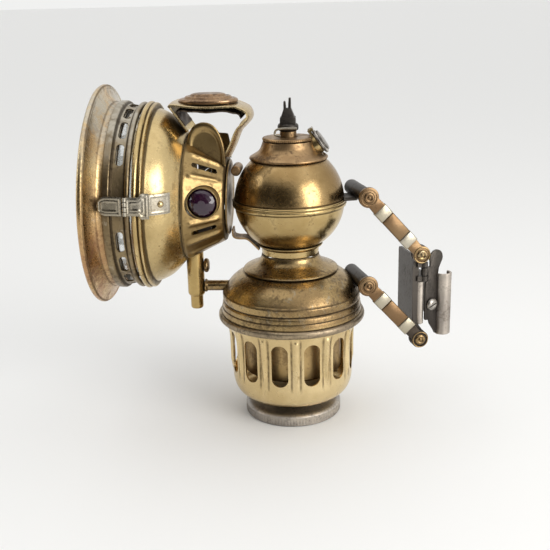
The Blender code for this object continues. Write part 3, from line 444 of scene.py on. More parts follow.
def lathe(name, section, mat, body, nodes=(), matrix=UPRIGHT, steps=128, closed=True, wave=None, cut=(),
        smooth=35, inside=None):
    bm = lathe_mesh(section, steps, closed, wave)
    if cut:
        base = piece(name, bm, None, body, matrix=matrix)
        obj = carve(base, cut, name, mat, body, nodes, smooth)
    else:
        obj = piece(name, bm, mat, body, nodes, matrix=matrix, smooth=smooth)
    if inside:
        obj.data.materials.append(MAT[inside])
        back = matrix.inverted()
        turn = back.to_3x3()
        for face in obj.data.polygons:
            spot, way = back @ face.center, turn @ face.normal
            if spot.x * way.x + spot.y * way.y < -0.25 * hypot(spot.x, spot.y):
                face.material_index = 1
    return obj


def carve(base, cutters, name, mat, body, nodes=(), smooth=35, joined=()):
    """Cuts and joins with exact booleans, then keeps only the resulting mesh."""
    for tool in cutters:
        modifier = base.modifiers.new("cut", 'BOOLEAN')
        modifier.operation = 'DIFFERENCE'
        modifier.object = tool
    for tool in joined:
        modifier = base.modifiers.new("join", 'BOOLEAN')
        modifier.operation = 'UNION'
        modifier.object = tool
    bpy.context.view_layer.update()
    result = bpy.data.meshes.new_from_object(base.evaluated_get(bpy.context.evaluated_depsgraph_get()))
    bm = bmesh.new()
    bm.from_mesh(result)
    for item in (base, *cutters, *joined):
        bpy.data.objects.remove(item, do_unlink=True)
    return piece(name, bm, mat, body, nodes, smooth=smooth)


def rod_mesh(radius, start, end, steps=32, chamfer=0.0):
    """Cylinder between two points in millimetres with chamfered ends."""
    start, end = Vector(start), Vector(end)
    length = (end - start).length
    section = [(0, length), (radius - chamfer, length), (radius, length - chamfer), (radius, chamfer),
        (radius - chamfer, 0), (0, 0)]
    if chamfer == 0:
        section = [(0, length), (radius, length), (radius, 0), (0, 0)]
    bm = lathe_mesh(section, steps, closed=False)
    turn = (end - start).to_track_quat('Z', 'Y').to_matrix().to_4x4()
    bm.transform(Matrix.Translation(start * MM) @ turn)
    return bm


def rod(name, radius, start, end, mat, body, matrix=UPRIGHT, steps=32):
    return piece(name, rod_mesh(radius, start, end, steps, 0.15), mat, body, matrix=matrix)


def cutter(bm, matrix=UPRIGHT):
    return piece("cutter", bm, None, None, matrix=matrix)


def slots_mesh(places, length, width, depth, steps=20):
    bm = bmesh.new()
    for centre, long_way, inward in places:
        across = inward.cross(long_way).normalized()
        turn = Matrix((long_way.normalized(), across, inward.normalized())).transposed()
        top, low = [], []
        for k in range(steps):
            angle = TAU * (k + 0.5) / steps
            x = width / 2 * cos(angle) + copysign((length - width) / 2, cos(angle))
            y = width / 2 * sin(angle)
            for ring, z in ((top, depth / 2), (low, -depth / 2)):
                ring.append(bm.verts.new((turn @ Vector((x, y, z)) + centre) * MM))
        bm.faces.new(top)
        bm.faces.new(low[::-1])
        strip(bm, top, low, True)
    return bm


def plate_mesh(outline, thickness, bevel=0.25):
    """Flat plate from an outline (x, y) in millimetres, thick along Z, with softened edges."""
    bm = bmesh.new()
    ring = [bm.verts.new((x * MM, y * MM, -thickness * MM / 2)) for x, y in outline]
    face = bm.faces.new(ring)
    grown = bmesh.ops.extrude_face_region(bm, geom=[face])
    moved = [v for v in grown["geom"] if isinstance(v, bmesh.types.BMVert)]
    bmesh.ops.translate(bm, verts=moved, vec=(0, 0, thickness * MM))
    bmesh.ops.recalc_face_normals(bm, faces=bm.faces)
    if bevel:
        rims = [e for e in bm.edges if len(e.link_faces) == 2 and e.calc_face_angle() > 1.0
            and abs(e.verts[0].co.z - e.verts[1].co.z) < 1e-6]
        bmesh.ops.bevel(bm, geom=rims, offset=bevel * MM, segments=2, profile=0.5, affect='EDGES',
            clamp_overlap=True)
    return bm


UPRIGHT_PLATE = turned(90, 'X')     # plate y becomes Z, thickness along Y


def arc(centre, radius, start, end, count):
    return [(centre[0] + radius * cos(radians(start + (end - start) * s / count)),
        centre[1] + radius * sin(radians(start + (end - start) * s / count))) for s in range(count + 1)]


def slab(bm, top, low):
    """Faces of a thin body between two grids of vertices."""
    for i in range(len(top) - 1):
        strip(bm, top[i], top[i + 1])
        strip(bm, low[i + 1], low[i])
    for j, (outer, inner) in ((0, (top, low)), (-1, (low, top))):
        strip(bm, [row[j] for row in outer], [row[j] for row in inner])
        strip(bm, inner[j], outer[j])


def sheet_mesh(path, width, wall, across=10, dish=None, edge=None):
    """Sheet bent along (x, z) in millimetres, wide along Y. dish(s, v) lifts it along its normal
    and edge(s) narrows it."""
    pts = [Vector((x, 0, z)) for x, z in path]
    bm = bmesh.new()
    grid = []
    for i, here in enumerate(pts):
        way = (pts[min(i + 1, len(pts) - 1)] - pts[max(i - 1, 0)]).normalized()
        normal = Vector((-way.z, 0, way.x))
        s = i / (len(pts) - 1)
        half = width / 2 * (edge(s) if edge else 1.0)
        row = []
        for j in range(across + 1):
            v = -1 + 2 * j / across
            lift = dish(s, v) if dish else 0.0
            row.append((here + normal * lift + Vector((0, half * v, 0)), normal))
        grid.append(row)
    top = [[bm.verts.new(p * MM) for p, n in row] for row in grid]
    low = [[bm.verts.new((p - n * wall) * MM) for p, n in row] for row in grid]
    slab(bm, top, low)
    return bm


def dent(amount, scale, seed):
    """A slow irregular change of radius, as on hand-finished sheet."""
    def wave(angle, r, h, i):
        spot = Vector((cos(angle) * r, sin(angle) * r, h)) * scale + Vector((seed, 0, 0))
        return r + amount * noise.noise(spot) * min(1.0, r / 8), h
    return wave


# ------------------------------------------------------------------ generator
def milled(low, high, depth, radius, teeth_step=4, steps=MILL_STEPS):
    """Straight milling between two heights, on what lies outside a radius."""
    def wave(angle, r, h, i):
        k = round(angle / TAU * steps)
        if low <= h <= high and r > radius and k % teeth_step >= teeth_step // 2:
            r -= depth
        return r, h
    return wave



lathe("tank_upper", shell(ellipse(25.6, 105, 26, 47.6, 0.4, 26), 0.8), "tank_top", "lamp",
    "tank_upper_bowl", wave=dent(0.12, 0.07, 3))
low_bowl = ellipse(25.6, 105, 24.1, -0.5, -53.4, 26) + [(14.6, 85.4), (3.4, 85.35)]
lathe("tank_lower", shell(low_bowl, 0.8), "tank_low", "lamp", "tank_lower_bowl", wave=dent(0.12, 0.07, 9))
band = [(26.25, 106.4), (26.6, 106.0), (26.6, 105.4), (26.2, 105.0), (26.6, 104.6), (26.6, 103.8),
    (26.3, 103.2), (25.95, 103.2), (25.95, 106.4)]
lathe("tank_band", soft(band, 0.3, 3, True), "tank_low", "lamp", "tank_seam_band")

neck_cut = lambda: cutter(rod_mesh(4.9, (0, 0, -8), (0, 0, 0.5), 48), FILLER)
cap_cut = lambda: cutter(rod_mesh(6.5, (0, 0, -1.8), (0, 0, 6), 48), FILLER)
shoulder = spline([(11.7, 132.9), (12.3, 131.2), (12.9, 129.8), (14.0, 128.3), (15.6, 127.2), (17.0, 126.4),
    (17.9, 125.8), (18.1, 125.2), (17.7, 124.7)], 5)
lathe("shoulder_collar", shell(shoulder, 0.8), "collar", "lamp", "tank_collar", cut=(neck_cut(), cap_cut()))
rim = soft([(4.1, 134.7), (10.4, 134.7), (11.0, 134.5), (11.5, 134.6), (11.9, 134.2), (11.9, 133.6),
    (11.5, 133.2), (4.1, 133.2)], 0.15, 2, True)
lathe("top_plate", rim, "collar", "lamp", "tank_top_plate", steps=MILL_STEPS, wave=milled(133.0, 134.65,
    0.32, 11.3, 5), cut=(neck_cut(), cap_cut()), smooth=25)

collar = soft([(15.3, 85.0), (15.3, 84.3), (13.6, 83.2), (13.3, 80.2), (12.5, 80.2), (12.5, 85.0)], 0.3, 4,
    True)
lathe("neck_band", collar, "tank_low", "lamp", "neck_collar")
skirt = spline([(13.5, 79.9), (13.8, 78.6), (14.6, 77.2), (16.2, 75.7), (19.3, 74.3), (21.4, 73.5),
    (22.3, 73.0), (22.6, 72.5)], 5)
lathe("neck_flare", shell(skirt, 0.7), "dome", "lamp", "neck_skirt", wave=dent(0.1, 0.1, 4))
crown = [(3.4, 72.6), (15.0, 72.4), (20.0, 72.0), (22.5, 71.5)]
crown += spline([(22.5, 71.5), (25.8, 69.7), (28.8, 67.2), (31.0, 64.2), (32.1, 62.4)], 6)[1:]
crown += soft([(32.1, 62.4), (32.9, 61.6), (32.9, 58.7), (32.3, 58.0), (33.0, 57.2), (33.2, 55.3),
    (33.1, 55.0), (33.4, 54.7), (33.5, 53.4), (33.6, 52.3)], 0.35, 3)[1:]
pipe_cut = cutter(rod_mesh(2.9, (-36, 0, 63.6), (-20, 0, 63.6), 32))
lathe("dome_shell", shell(crown, 0.8), "dome", "lamp", "generator_dome", steps=144,
    wave=dent(0.14, 0.06, 5), cut=(pipe_cut,))
ring = soft([(34.0, 52.0), (34.9, 51.4), (35.1, 50.2), (34.8, 49.0), (34.0, 48.4), (31.2, 48.4),
    (31.2, 49.2), (32.9, 49.8), (32.9, 52.0)], 0.5, 4, True)
lathe("lock_ring", ring, "ring", "lamp", "locking_ring", steps=144, wave=dent(0.12, 0.09, 6))

def cage_wave(angle, r, h, i):
    """Long pressed ribs midway between the slots, with a shallow gutter each side."""
    turn = ((angle - SLOT_PHASE) / (TAU / SLOT_COUNT)) % 1.0 - 0.5
    across = turn * TAU / SLOT_COUNT * CAGE_RADIUS
    run = unit((h - 21.0) / 6.0) * unit((46.2 - h) / 2.0)
    narrow = 0.45 + 0.55 * unit((h - 22.0) / 16.0)
    rib = exp(-(across / (1.15 * narrow)) ** 2)
    gutter = exp(-((abs(across) - 2.3 * narrow) / 0.7) ** 2)
    return r + run * (0.95 * rib - 0.42 * gutter), h


wall_line = [(30.6, 56), (30.6, 52), (30.6, 49.4)]
wall_line += spline([(30.6, 49.4), (30.1, 46), (29.6, 43), (29.3, 40), (29.15, 36), (29.1, 32), (29.1, 28),
    (29.05, 24), (29.0, 20), (28.75, 18), (28.2, 15.8), (27.3, 13.8), (26.0, 12.2), (24.5, 11.0),
    (22.8, 10.2)], 4)[1:]
wall_line += [(20.0, 9.85), (12.0, 9.8), (3.6, 9.8)]
places = []
for index in range(SLOT_COUNT):
    a = SLOT_PHASE + index * TAU / SLOT_COUNT
    out = Vector((cos(a), sin(a), 0))
    places.append((out * CAGE_RADIUS + Vector((0, 0, 33.15)), Vector((0, 0, 1)), -out))
lathe("cage_cup", shell(wall_line, 0.8), "cage", "lamp", "carbide_cage", steps=288, wave=cage_wave,
    cut=(cutter(slots_mesh(places, 20.7, 7.9, 5)),), smooth=50)

can = soft([(0, 23.8), (22.7, 23.8), (22.7, 54.8), (24.9, 54.8), (24.9, 54.0), (23.5, 53.6), (23.5, 23.8),
    (22.7, 23.0), (0, 23.0)], 0.3, 3)
lathe("carbide_can", can, "canister", "carriage", "carbide_canister", closed=False, steps=96)
knob = [(0, 2.0), (3.3, 2.0), (3.3, 9.2), (5.2, 9.2)]
knob += spline([(5.2, 9.2), (5.6, 7.6), (8.0, 6.6), (14.0, 6.2), (19.5, 6.0), (21.6, 5.7), (22.6, 5.2)],
    4)[1:]
knob += [(23.0, 4.9), (23.3, 4.5), (23.3, 3.5), (23.3, 2.5), (23.3, 1.4), (23.25, 0.6), (22.8, 0.1),
    (22.4, 0.0), (0, 0)]
lathe("foot_disc", knob, "foot", "foot", "foot_knob", closed=False, steps=MILL_STEPS,
    wave=milled(1.2, 3.8, 0.22, 22.9), smooth=30)

# valve, pointer and filler
guide = soft([(3.8, 137.3), (3.8, 131.5), (2.3, 131.5), (2.3, 137.3)], 0.25, 3, True)
lathe("valve_bush", guide, "collar", "lamp", "valve_guide", steps=48)
body = soft([(0, 141.0), (3.6, 141.0), (4.4, 140.4), (4.8, 139.7), (4.8, 138.2), (4.4, 137.6), (1.9, 137.6),
    (1.9, 101), (0.7, 98.6), (0, 98.6)], 0.3, 3)
spindle = piece("spindle", lathe_mesh(body, 48, False), None, None)


def tapered_block(corners_low, corners_high, z_low, z_high):
    bm = bmesh.new()
    low = [bm.verts.new(Vector((x, y, z_low)) * MM) for x, y in corners_low]
    high = [bm.verts.new(Vector((x, y, z_high)) * MM) for x, y in corners_high]
    bm.faces.new(low[::-1])
    bm.faces.new(high)
    strip(bm, high, low, True)
    bmesh.ops.bevel(bm, geom=bm.edges[:], offset=0.35 * MM, segments=2, profile=0.6, affect='EDGES')
    return bm


def square(x, y, half_x, half_y):
    return oblong(x - half_x, y - half_y, x + half_x, y + half_y)


block = cutter(tapered_block(square(0, 0, 3.6, 3.4), square(0, 0, 3.5, 3.2), 140.3, 143.7))
neck = cutter(tapered_block(square(0, 0, 3.3, 3.1), square(-0.1, 0, 1.7, 1.6), 143.0, 147.6))
left = cutter(tapered_block(square(-1.2, 0, 0.8, 1.6), square(-1.4, 0, 0.45, 1.2), 144.5, 150.7))
right = cutter(tapered_block(square(0.8, 0, 0.8, 1.6), square(1.0, 0, 0.5, 1.2), 144.5, 152.2))
carve(spindle, (), "valve_needle", "steel", "water_valve", "valve_stem", joined=(block, neck, left, right))


def wire(name, points, radius, mat, body, nodes=(), matrix=UPRIGHT):
    """Round wire through smooth points in millimetres."""
    pts = [Vector(p) for p in spline(points, 6)]
    bm = bmesh.new()
    rings = []
    side = Vector((0, 0, 1))
    for i, here in enumerate(pts):
        way = (pts[min(i + 1, len(pts) - 1)] - pts[max(i - 1, 0)]).normalized()
        side = (side - way * side.dot(way)).normalized()
        other = way.cross(side)
        rings.append([bm.verts.new((here + (side * cos(TAU * k / 12) + other * sin(TAU * k / 12)) * radius)
            * MM) for k in range(12)])
    for first, second in zip(rings, rings[1:]):
        strip(bm, first, second, True)
    bm.faces.new(rings[0])
    bm.faces.new(rings[-1][::-1])
    return piece(name, bm, mat, body, nodes, matrix=matrix)


wire("valve_pointer", [(4.2, -5.8, 139.0), (1.0, -5.9, 139.1), (-2.0, -5.9, 139.1), (-4.8, -5.5, 138.6),
    (-5.8, -5.2, 137.2), (-5.4, -5.1, 136.0), (-3.2, -5.2, 135.6)], 0.5, "ferrule", "water_valve",
    "pointer_wire")
tube = soft([(4.6, -0.3), (4.6, -4.5), (3.6, -4.5), (3.6, -0.3)], 0.2, 2, True)
neck_tube = cutter(lathe_mesh(tube, 64), FILLER)
ears = []
for side in (-2.35, 2.35):
    line = [(-3.4, -1.4), (-3.4, -0.5), (-6.3, -0.5), (-6.3, 1.1), (-7.6, 1.1), (-7.6, -1.4)]
    ears.append(cutter(plate_mesh(line, 0.9, 0), FILLER @ at(0, side, 0) @ UPRIGHT_PLATE))
carve(neck_tube, (), "filler_tube", "tank_low", "lamp", "filler_neck", joined=ears)
lid = soft([(0, 2.3), (3.9, 2.4), (4.4, 2.1), (4.9, 2.2), (5.0, 2.0), (5.0, 1.4), (5.2, 1.2), (5.7, 1.25),
    (5.9, 1.0), (5.9, 0.2), (5.7, 0.0), (0, 0)], 0.12, 2)
lid_disc = cutter(lathe_mesh(lid, MILL_STEPS // 2, False, milled(-1, 3, 0.22, 4.85, steps=MILL_STEPS // 2)),
    FILLER)
lid_web = cutter(plate_mesh(oblong(-6.9, -1.5, -4.5, 1.5), 0.9, 0.1), FILLER @ at(0, 0, 0.5))
lid_roll = cutter(rod_mesh(0.9, (-6.9, -1.5, 0.4), (-6.9, 1.5, 0.4), 24, 0.1), FILLER)
carve(lid_disc, (), "filler_lid_disc", "pale_steel", "filler_lid", "filler_cap", joined=(lid_web, lid_roll),
    smooth=28)

# ------------------------------------------------------------------ lamp head
RIM_WIRE = (49.2, 35.5)                 # centre of the wire in the rolled rim
rolled = [(50.65, 35.5), *arc(RIM_WIRE, 1.5, -15, -90, 5)]
trumpet = spline([(48.9, 34.1), (47.2, 33.5), (45.2, 32.4), (43.6, 31.2), (42.6, 30.1), (42.0, 28.6),
    (41.9, 27.2), (41.9, 26.0)], 4)
inside = spline([(41.4, 26.0), (41.4, 27.4), (41.6, 29.0), (42.3, 30.6), (43.4, 32.0), (45.0, 33.2),
    (46.9, 34.3), (47.8, 35.1)], 4)
lip = arc(RIM_WIRE, 1.5, 175, 10, 11)
lathe("front_flare", rolled + trumpet + inside + lip, "flare", "front_door", "bell_flare", matrix=HEAD,
    steps=160, wave=dent(0.18, 0.05, 7))

vent = soft([(43.2, 28.0), (43.5, 27.7), (43.5, 25.2), (43.2, 24.8), (42.3, 24.5), (42.0, 23.9),
    (41.2, 18.9), (42.0, 18.5), (42.8, 18.2), (43.1, 17.4), (42.8, 16.6), (42.0, 16.2), (41.1, 16.2),
    (41.1, 17.7), (40.5, 18.6), (41.3, 24.3), (41.9, 25.2), (42.7, 25.5), (42.8, 28.0)], 0.3, 3, True)
vent_places = []
for index in range(2, 20):
    a = index * radians(18)
    out = Vector((sin(a), -cos(a), 0))
    vent_places.append((out * 41.3 + Vector((0, 0, 21.4)), out.cross(Vector((0, 0, 1))), -out))
lathe("vent_ring", vent, "vent", "front_door", "vent_bezel", matrix=HEAD, steps=160,
    wave=dent(0.1, 0.06, 8), cut=(cutter(slots_mesh(vent_places, 10.2, 3.4, 5), HEAD),))
lens = spline([(0, 29.5), (10, 29.3), (20, 28.6), (30, 27.3), (39.0, 25.7)], 5) + [(39.3, 25.5),
    (39.3, 24.1)]
lens += spline([(39.0, 24.0), (30, 25.5), (20, 26.8), (10, 27.5), (0, 27.7)], 5)
lathe("front_lens", lens, "clear", "front_door", "lens_glass", matrix=HEAD, steps=96, closed=False)
keeper = soft([(40.4, 23.7), (40.4, 22.9), (37.6, 22.9), (37.6, 23.7)], 0.3, 3, True)
lathe("lens_keeper", keeper, "nickel", "front_door", "lens_ring", matrix=HEAD, steps=96)

bowl = soft([(42.0, 15.3), (42.9, 15.2), (43.4, 14.6), (43.4, 13.9), (42.9, 13.2), (42.2, 12.9),
    (42.6, 12.5), (42.9, 12.0), (42.8, 11.5), (42.0, 11.1), (40.8, 11.0)], 0.5, 4)
bowl += spline([(40.4, 11.0), (39.9, 9.8), (38.9, 7.4), (37.5, 4.9), (35.6, 2.5), (32.9, 0.0), (30.6, -1.8),
    (29.2, -2.9)], 6)
tube_cut = lambda: cutter(rod_mesh(4.6, (-45.7, 0, 60), (-45.7, 0, 95), 48))
lathe("drum_bowl", shell(bowl, 0.5), "drum", "lamp", "head_drum", matrix=HEAD, steps=160,
    wave=dent(0.15, 0.05, 11), cut=(tube_cut(),), inside="drum_inside")


def cone_wave(angle, r, h, i):
    """Pressed ribs that run back along the cone."""
    if r < 18.5 or h > -4.2:
        return r, h
    lift = degrees(atan2(cos(angle), abs(sin(angle))))
    run = unit((-5.2 - h) / 2.0) * unit((h + 20.4) / 2.0)
    bump = 0.0
    for centre in (54.0, 31.0, -15.0, -37.0, -56.0):
        bump += exp(-((lift - centre) / 2.6) ** 2)
    return r + 1.0 * bump * run, h


cone_line = [(29.0, -3.5), (29.05, -4.3)]
cone_line += [(29.0 + (20.2 - 29.0) * t / 24, -4.5 + (-20.9 + 4.5) * t / 24) for t in range(25)]
cone_line += [(19.9, -21.25), (19.2, -21.3), (15.0, -21.3)]
cone_places = []
slant = atan2(8.8, 17.8)
for side in (-1, 1):
    for lift in (42.5, -26.0):
        a = radians(lift)
        radial = Vector((sin(a), side * cos(a), 0))
        inward = -(radial * cos(slant) - Vector((0, 0, sin(slant))))
        long_way = Vector((0, 0, -cos(slant))) - radial * sin(slant)
        cone_places.append((radial * 24.4 + Vector((0, 0, -12.8)), long_way, inward))
chimney_cut = cutter(plate_mesh(oblong(5.0, -11.0, 19.0, 11.0), 32, 0), HEAD_FRAME @ at(0, 0, 24))
jewel_cut = cutter(rod_mesh(7.5, (12.6, -40, 2.3), (12.6, 40, 2.3), 48), HEAD_FRAME)
lathe("cone_back", shell(cone_line, 0.5), "cone", "lamp", "rear_cone", matrix=HEAD, steps=288,
    wave=cone_wave, cut=(cutter(slots_mesh(cone_places, 12.4, 2.4, 5), HEAD), tube_cut(), chimney_cut,
    jewel_cut), smooth=50, inside="soot")
cap = soft([(0, -21.7), (17.2, -21.7), (17.6, -21.9), (17.6, -22.4), (17.2, -22.6), (15.0, -22.55),
    (14.2, -22.3), (0, -22.3)], 0.2, 3)
lathe("cone_end", cap, "cone", "lamp", "back_plate", matrix=HEAD, closed=False, steps=96)
dish = spline([(0, -18.8), (4.5, -18.5), (9, -17.7), (12.8, -16.4), (16, -14.6)], 4)
dish += spline([(16.4, -14.9), (12.8, -16.9), (9, -18.4), (4.5, -19.2), (0, -19.5)], 4)
lathe("small_reflector", dish, "nickel", "lamp", "reflector", matrix=HEAD, closed=False, steps=96)

for side, word, stone_mat in ((-1, "near", "ruby"), (1, "far", "green")):
    spot = HEAD_FRAME @ at(12.6, 0, 2.3) @ Matrix.Rotation(side * -pi / 2, 4, 'X')
    bezel = soft([(6.45, 25.2), (6.4, 25.6), (6.6, 25.95), (6.9, 26.0), (7.2, 25.7), (7.3, 25.2), (7.3, 20),
        (6.45, 20)], 0.3, 3, True)
    lathe("jewel_rim_" + word, bezel, "cone", "lamp", "jewel_bezel_" + word, matrix=spot, steps=72)
    bm = bmesh.new()
    rows = [(6.35, 22.0, 0), (6.35, 24.6, 0), (5.75, 25.7, 0.5), (4.7, 26.5, 0), (3.3, 27.1, 0.5),
        (1.7, 27.4, 0)]
    rings = []
    for r, h, shift in rows:
        rings.append([bm.verts.new(Vector((r * cos(TAU * (k + shift) / 16), r * sin(TAU * (k + shift) / 16),
            h)) * MM) for k in range(16)])
    for row, (low_ring, high_ring) in enumerate(zip(rings, rings[1:])):
        skew = 1 if rows[row][2] > rows[row + 1][2] else 0
        for k in range(16):
            n = (k + 1) % 16
            bm.faces.new((low_ring[k], low_ring[n], high_ring[(k + skew) % 16]))
            bm.faces.new((low_ring[n], high_ring[(n + skew) % 16], high_ring[(k + skew) % 16]))
    bm.faces.new(rings[0][::-1])
    bm.faces.new(rings[-1])
    piece("jewel_stone_" + word, bm, stone_mat, "lamp", "jewel_" + word, matrix=spot, smooth=5)

# chimney
hood_path = spline([(-46.4, 137.6), (-50.4, 143.8), (-53.2, 148.6), (-53.6, 150.2), (-52.6, 151.3),
    (-50.6, 151.6), (-45.0, 150.9), (-40.0, 150.4), (-33.0, 150.3), (-25.0, 150.5), (-20.5, 150.0),
    (-17.0, 148.3), (-15.6, 145.6), (-16.0, 143.2), (-18.4, 140.4), (-20.8, 137.8), (-23.5, 131.5),
    (-26.2, 126.3)], 6)


def crown(s, v):
    """The strap is flat under its pressing and strongly arched across on both legs."""
    leg = max(0.0, (s - 0.56) / 0.44) ** 0.5 if s > 0.56 else max(0.0, (0.24 - s) / 0.24) ** 0.7
    rim = 0.45 * exp(-((abs(v) - 0.97) / 0.035) ** 2)
    return -(0.5 + 1.9 * leg) * v * v - 0.2 * abs(v) ** 6 + rim


def hood_taper(s):
    return 1.0 - 0.22 * max(0.0, s - 0.66) / 0.34 - 0.1 * max(0.0, 0.2 - s) / 0.2


hood = sheet_mesh(hood_path, 24, 0.7, 40, crown, hood_taper)
piece("hood_sheet", hood, "hood", "lamp", "chimney_hood")
rise = [(0, 154.9), (4.0, 154.95), (6.6, 154.9), (7.9, 154.5), (8.3, 153.8), (8.8, 153.5), (9.5, 153.85),
    (10.2, 153.8), (10.8, 153.2), (11.2, 152.6), (11.7, 152.5), (12.3, 152.8), (13.0, 152.6), (13.6, 152.0),
    (13.7, 151.4), (13.4, 151.05), (0, 151.05)]
oval = lathe_mesh(soft(rise, 0.35, 3), 96, False)
bmesh.ops.scale(oval, verts=oval.verts, vec=(1, 0.72, 1))
for v in oval.verts:
    if v.co.z < 151.2 * MM:
        v.co.z -= 0.35 * MM
piece("hood_pressing", oval, "copper", "lamp", "hood_dome", matrix=at(-36, 0, 0))
inner = spline([(-46.2, 141.0), (-48.2, 144.2), (-49.8, 146.9), (-48.5, 148.8), (-44, 148.6), (-36, 148.2),
    (-26, 148.2), (-21, 146.8), (-19.6, 144.8)], 9)


def torn(s):
    """The burnt edge of the baffle wanders in and out."""
    return 0.97 + 0.10 * noise.noise(Vector((s * 14, 2, 0))) + 0.05 * noise.noise(Vector((s * 45, 7, 0)))


def buckle(s, v):
    return -0.5 * v * v + 0.5 * noise.noise(Vector((s * 12, v * 2, 4)))


piece("hood_baffle", sheet_mesh(inner, 21, 0.6, 16, buckle, torn), "soot", "lamp", "hood_deflector")
ARCH = spline([(-44.6, 131.8), (-44.5, 134.9), (-44.0, 137.6), (-43.0, 139.9), (-41.2, 141.9),
    (-38.8, 143.0), (-36.6, 143.2), (-34.2, 142.6), (-31.8, 140.8), (-29.8, 137.6), (-28.4, 132.8),
    (-27.9, 127.5), (-27.7, 123.4)], 8)


def cheek(name, side, node, squash=1.0):
    """Arched side plate with a pressed inner panel, its foot tucked into the cone."""
    low_mid = Vector((-36.2, 0, 127.6))
    outline = [(x, 134.9 + (z - 134.9) * squash if z > 134.9 else z) for x, z in ARCH]
    bm = bmesh.new()
    rows = []
    for t in (0.0, 0.04, 0.10, 0.15, 0.19, 0.23, 0.27, 0.32, 0.45, 0.65, 0.85, 1.0):
        lift = 0.55 * (1 - unit((t - 0.15) / 0.12)) - 0.35 * (t < 0.02)
        ring = []
        for x, z in outline:
            spot = Vector((x, 0, z)).lerp(low_mid, t * 0.96)
            ring.append(bm.verts.new(Vector((spot.x, side * (11.7 + lift), spot.z)) * MM))
        rows.append(ring)
    backs = [bm.verts.new(Vector((x, side * 11.35, z)) * MM) for x, z in outline]
    rows.insert(0, backs)
    for first, second in zip(rows, rows[1:]):
        strip(bm, second, first, True)
    bm.faces.new(rows[-1])
    bm.faces.new(rows[0][::-1])
    piece(name, bm, "cone", "lamp", node, smooth=50)


cheek("cheek_near", -1, "chimney_cheek_near")
cheek("cheek_far", 1, "chimney_cheek_far", 0.06)

# latch and hinge
def tablet(name, path, low, high, wall, mat, body, nodes, matrix, outward=1, borders=((0.12, 0.10),),
        taper=None):
    """Pressed tablet bent along (x, y) in millimetres and standing between two heights, with
    raised borders."""
    pts = [Vector((x, y, 0)) for x, y in path]
    lengths = [0.0]
    for a, b in zip(pts, pts[1:]):
        lengths.append(lengths[-1] + (b - a).length)
    total = lengths[-1]
    tall = high - low
    count = 30
    bm = bmesh.new()
    front, rear = [], []
    for i, here in enumerate(pts):
        way = (pts[min(i + 1, len(pts) - 1)] - pts[max(i - 1, 0)]).normalized()
        normal = Vector((way.y, -way.x, 0)) * outward
        run = lengths[i]
        shrink = taper(run / total) if taper else 0.0
        row_f, row_r = [], []
        for j in range(count + 1):
            z = low + shrink + (tall - 2 * shrink) * j / count
            inset = min(run, total - run, z - low - shrink * 0.9, high - z - shrink * 0.9)
            lift = 0.0
            for place, size in borders:
                lift += size * exp(-((inset - place * tall) / 0.32) ** 2)
            row_f.append(bm.verts.new((here + normal * (wall / 2 + lift) + Vector((0, 0, z))) * MM))
            row_r.append(bm.verts.new((here - normal * wall / 2 + Vector((0, 0, z))) * MM))
        front.append(row_f)
        rear.append(row_r)
    slab(bm, front, rear)
    return piece(name, bm, mat, body, nodes, matrix=matrix)


BORDERS = ((0.10, 0.30), (0.24, 0.22))
leaf_path = [(-29.5 + 10.4 * t / 26, -44.45) for t in range(27)]
tablet("latch_tablet", leaf_path, 0.2, 8.4, 0.6, "nickel", "front_door", "latch_leaf", HEAD_FRAME, 1,
    BORDERS, lambda s: 3.9 * (1 - sqrt(1 - (1 - s / 0.38) ** 2)) if s < 0.38 else 0.0)
tongue_path = spline([(-17.6, -45.3), (-16.4, -44.75), (-14.0, -44.35), (-12.0, -44.2), (-9.2, -43.1),
    (-7.6, -42.7)], 6)
tablet("latch_hook", tongue_path, -1.2, 9.8, 0.6, "nickel", "latch", "latch_tongue", HEAD_FRAME, 1, BORDERS,
    lambda s: 1.5 * unit((0.66 - s) / 0.06))
for k, (low, high) in enumerate(((0.3, 2.1), (2.3, 4.2), (4.5, 6.3), (6.5, 8.3))):
    rod("latch_knuckle_" + str(k), 0.98, (-17.6, -45.3, low), (-17.6, -45.3, high), "nickel",
        "latch" if k in (1, 2) else "front_door", matrix=HEAD_FRAME, steps=24)
catch_path = spline([(-8.1, -41.3), (-7.3, -40.4), (-5.0, -38.9), (-2.5, -36.9), (-0.2, -34.4)], 6)
tablet("latch_catch", catch_path, -0.2, 8.8, 0.7, "nickel", "lamp", "catch_plate", HEAD_FRAME, 1,
    ((0.10, 0.15),))
stud = lathe_mesh(soft([(0, 1.3), (0.9, 1.1), (1.4, 0.5), (1.5, 0), (0, 0)], 0.2, 2), 24, False)
piece("catch_rivet", stud, "hood", "lamp", matrix=HEAD_FRAME @ at(-3.6, -38.0, 4.3) @ Vector((0.61, -0.79,
    0)).to_track_quat('Z', 'Y').to_matrix().to_4x4())
HINGE = HEAD_FRAME @ at(-15.9, 45.0, 0)
leaf_line = soft([(-8.4, -9), (-1.8, -9), (-1.8, -3.5), (0, -3.5), (0, 3.5), (-1.8, 3.5), (-1.8, 9),
    (-8.4, 9)], 1.0, 3, True)
piece("hinge_leaf_door", plate_mesh(leaf_line, 0.8, 0.15), "nickel", "front_door", "door_leaf",
    matrix=HINGE @ at(0, -1.3, 0) @ UPRIGHT_PLATE)
rod("hinge_roll_door", 1.5, (0, 0, -3.5), (0, 0, 3.5), "nickel", "front_door", matrix=HINGE)
leaf_line = soft([(-15.9, 3.8), (-15.9, 9), (-6.4, 9), (-6.4, -9), (-15.9, -9), (-15.9, -3.8),
    (-14.1, -3.8), (-14.1, 3.8)], 1.0, 3, True)
piece("hinge_leaf_drum", plate_mesh(leaf_line, 0.8, 0.15), "nickel", "lamp", "drum_leaf",
    matrix=HEAD_FRAME @ at(0, 43.7, 0) @ UPRIGHT_PLATE)
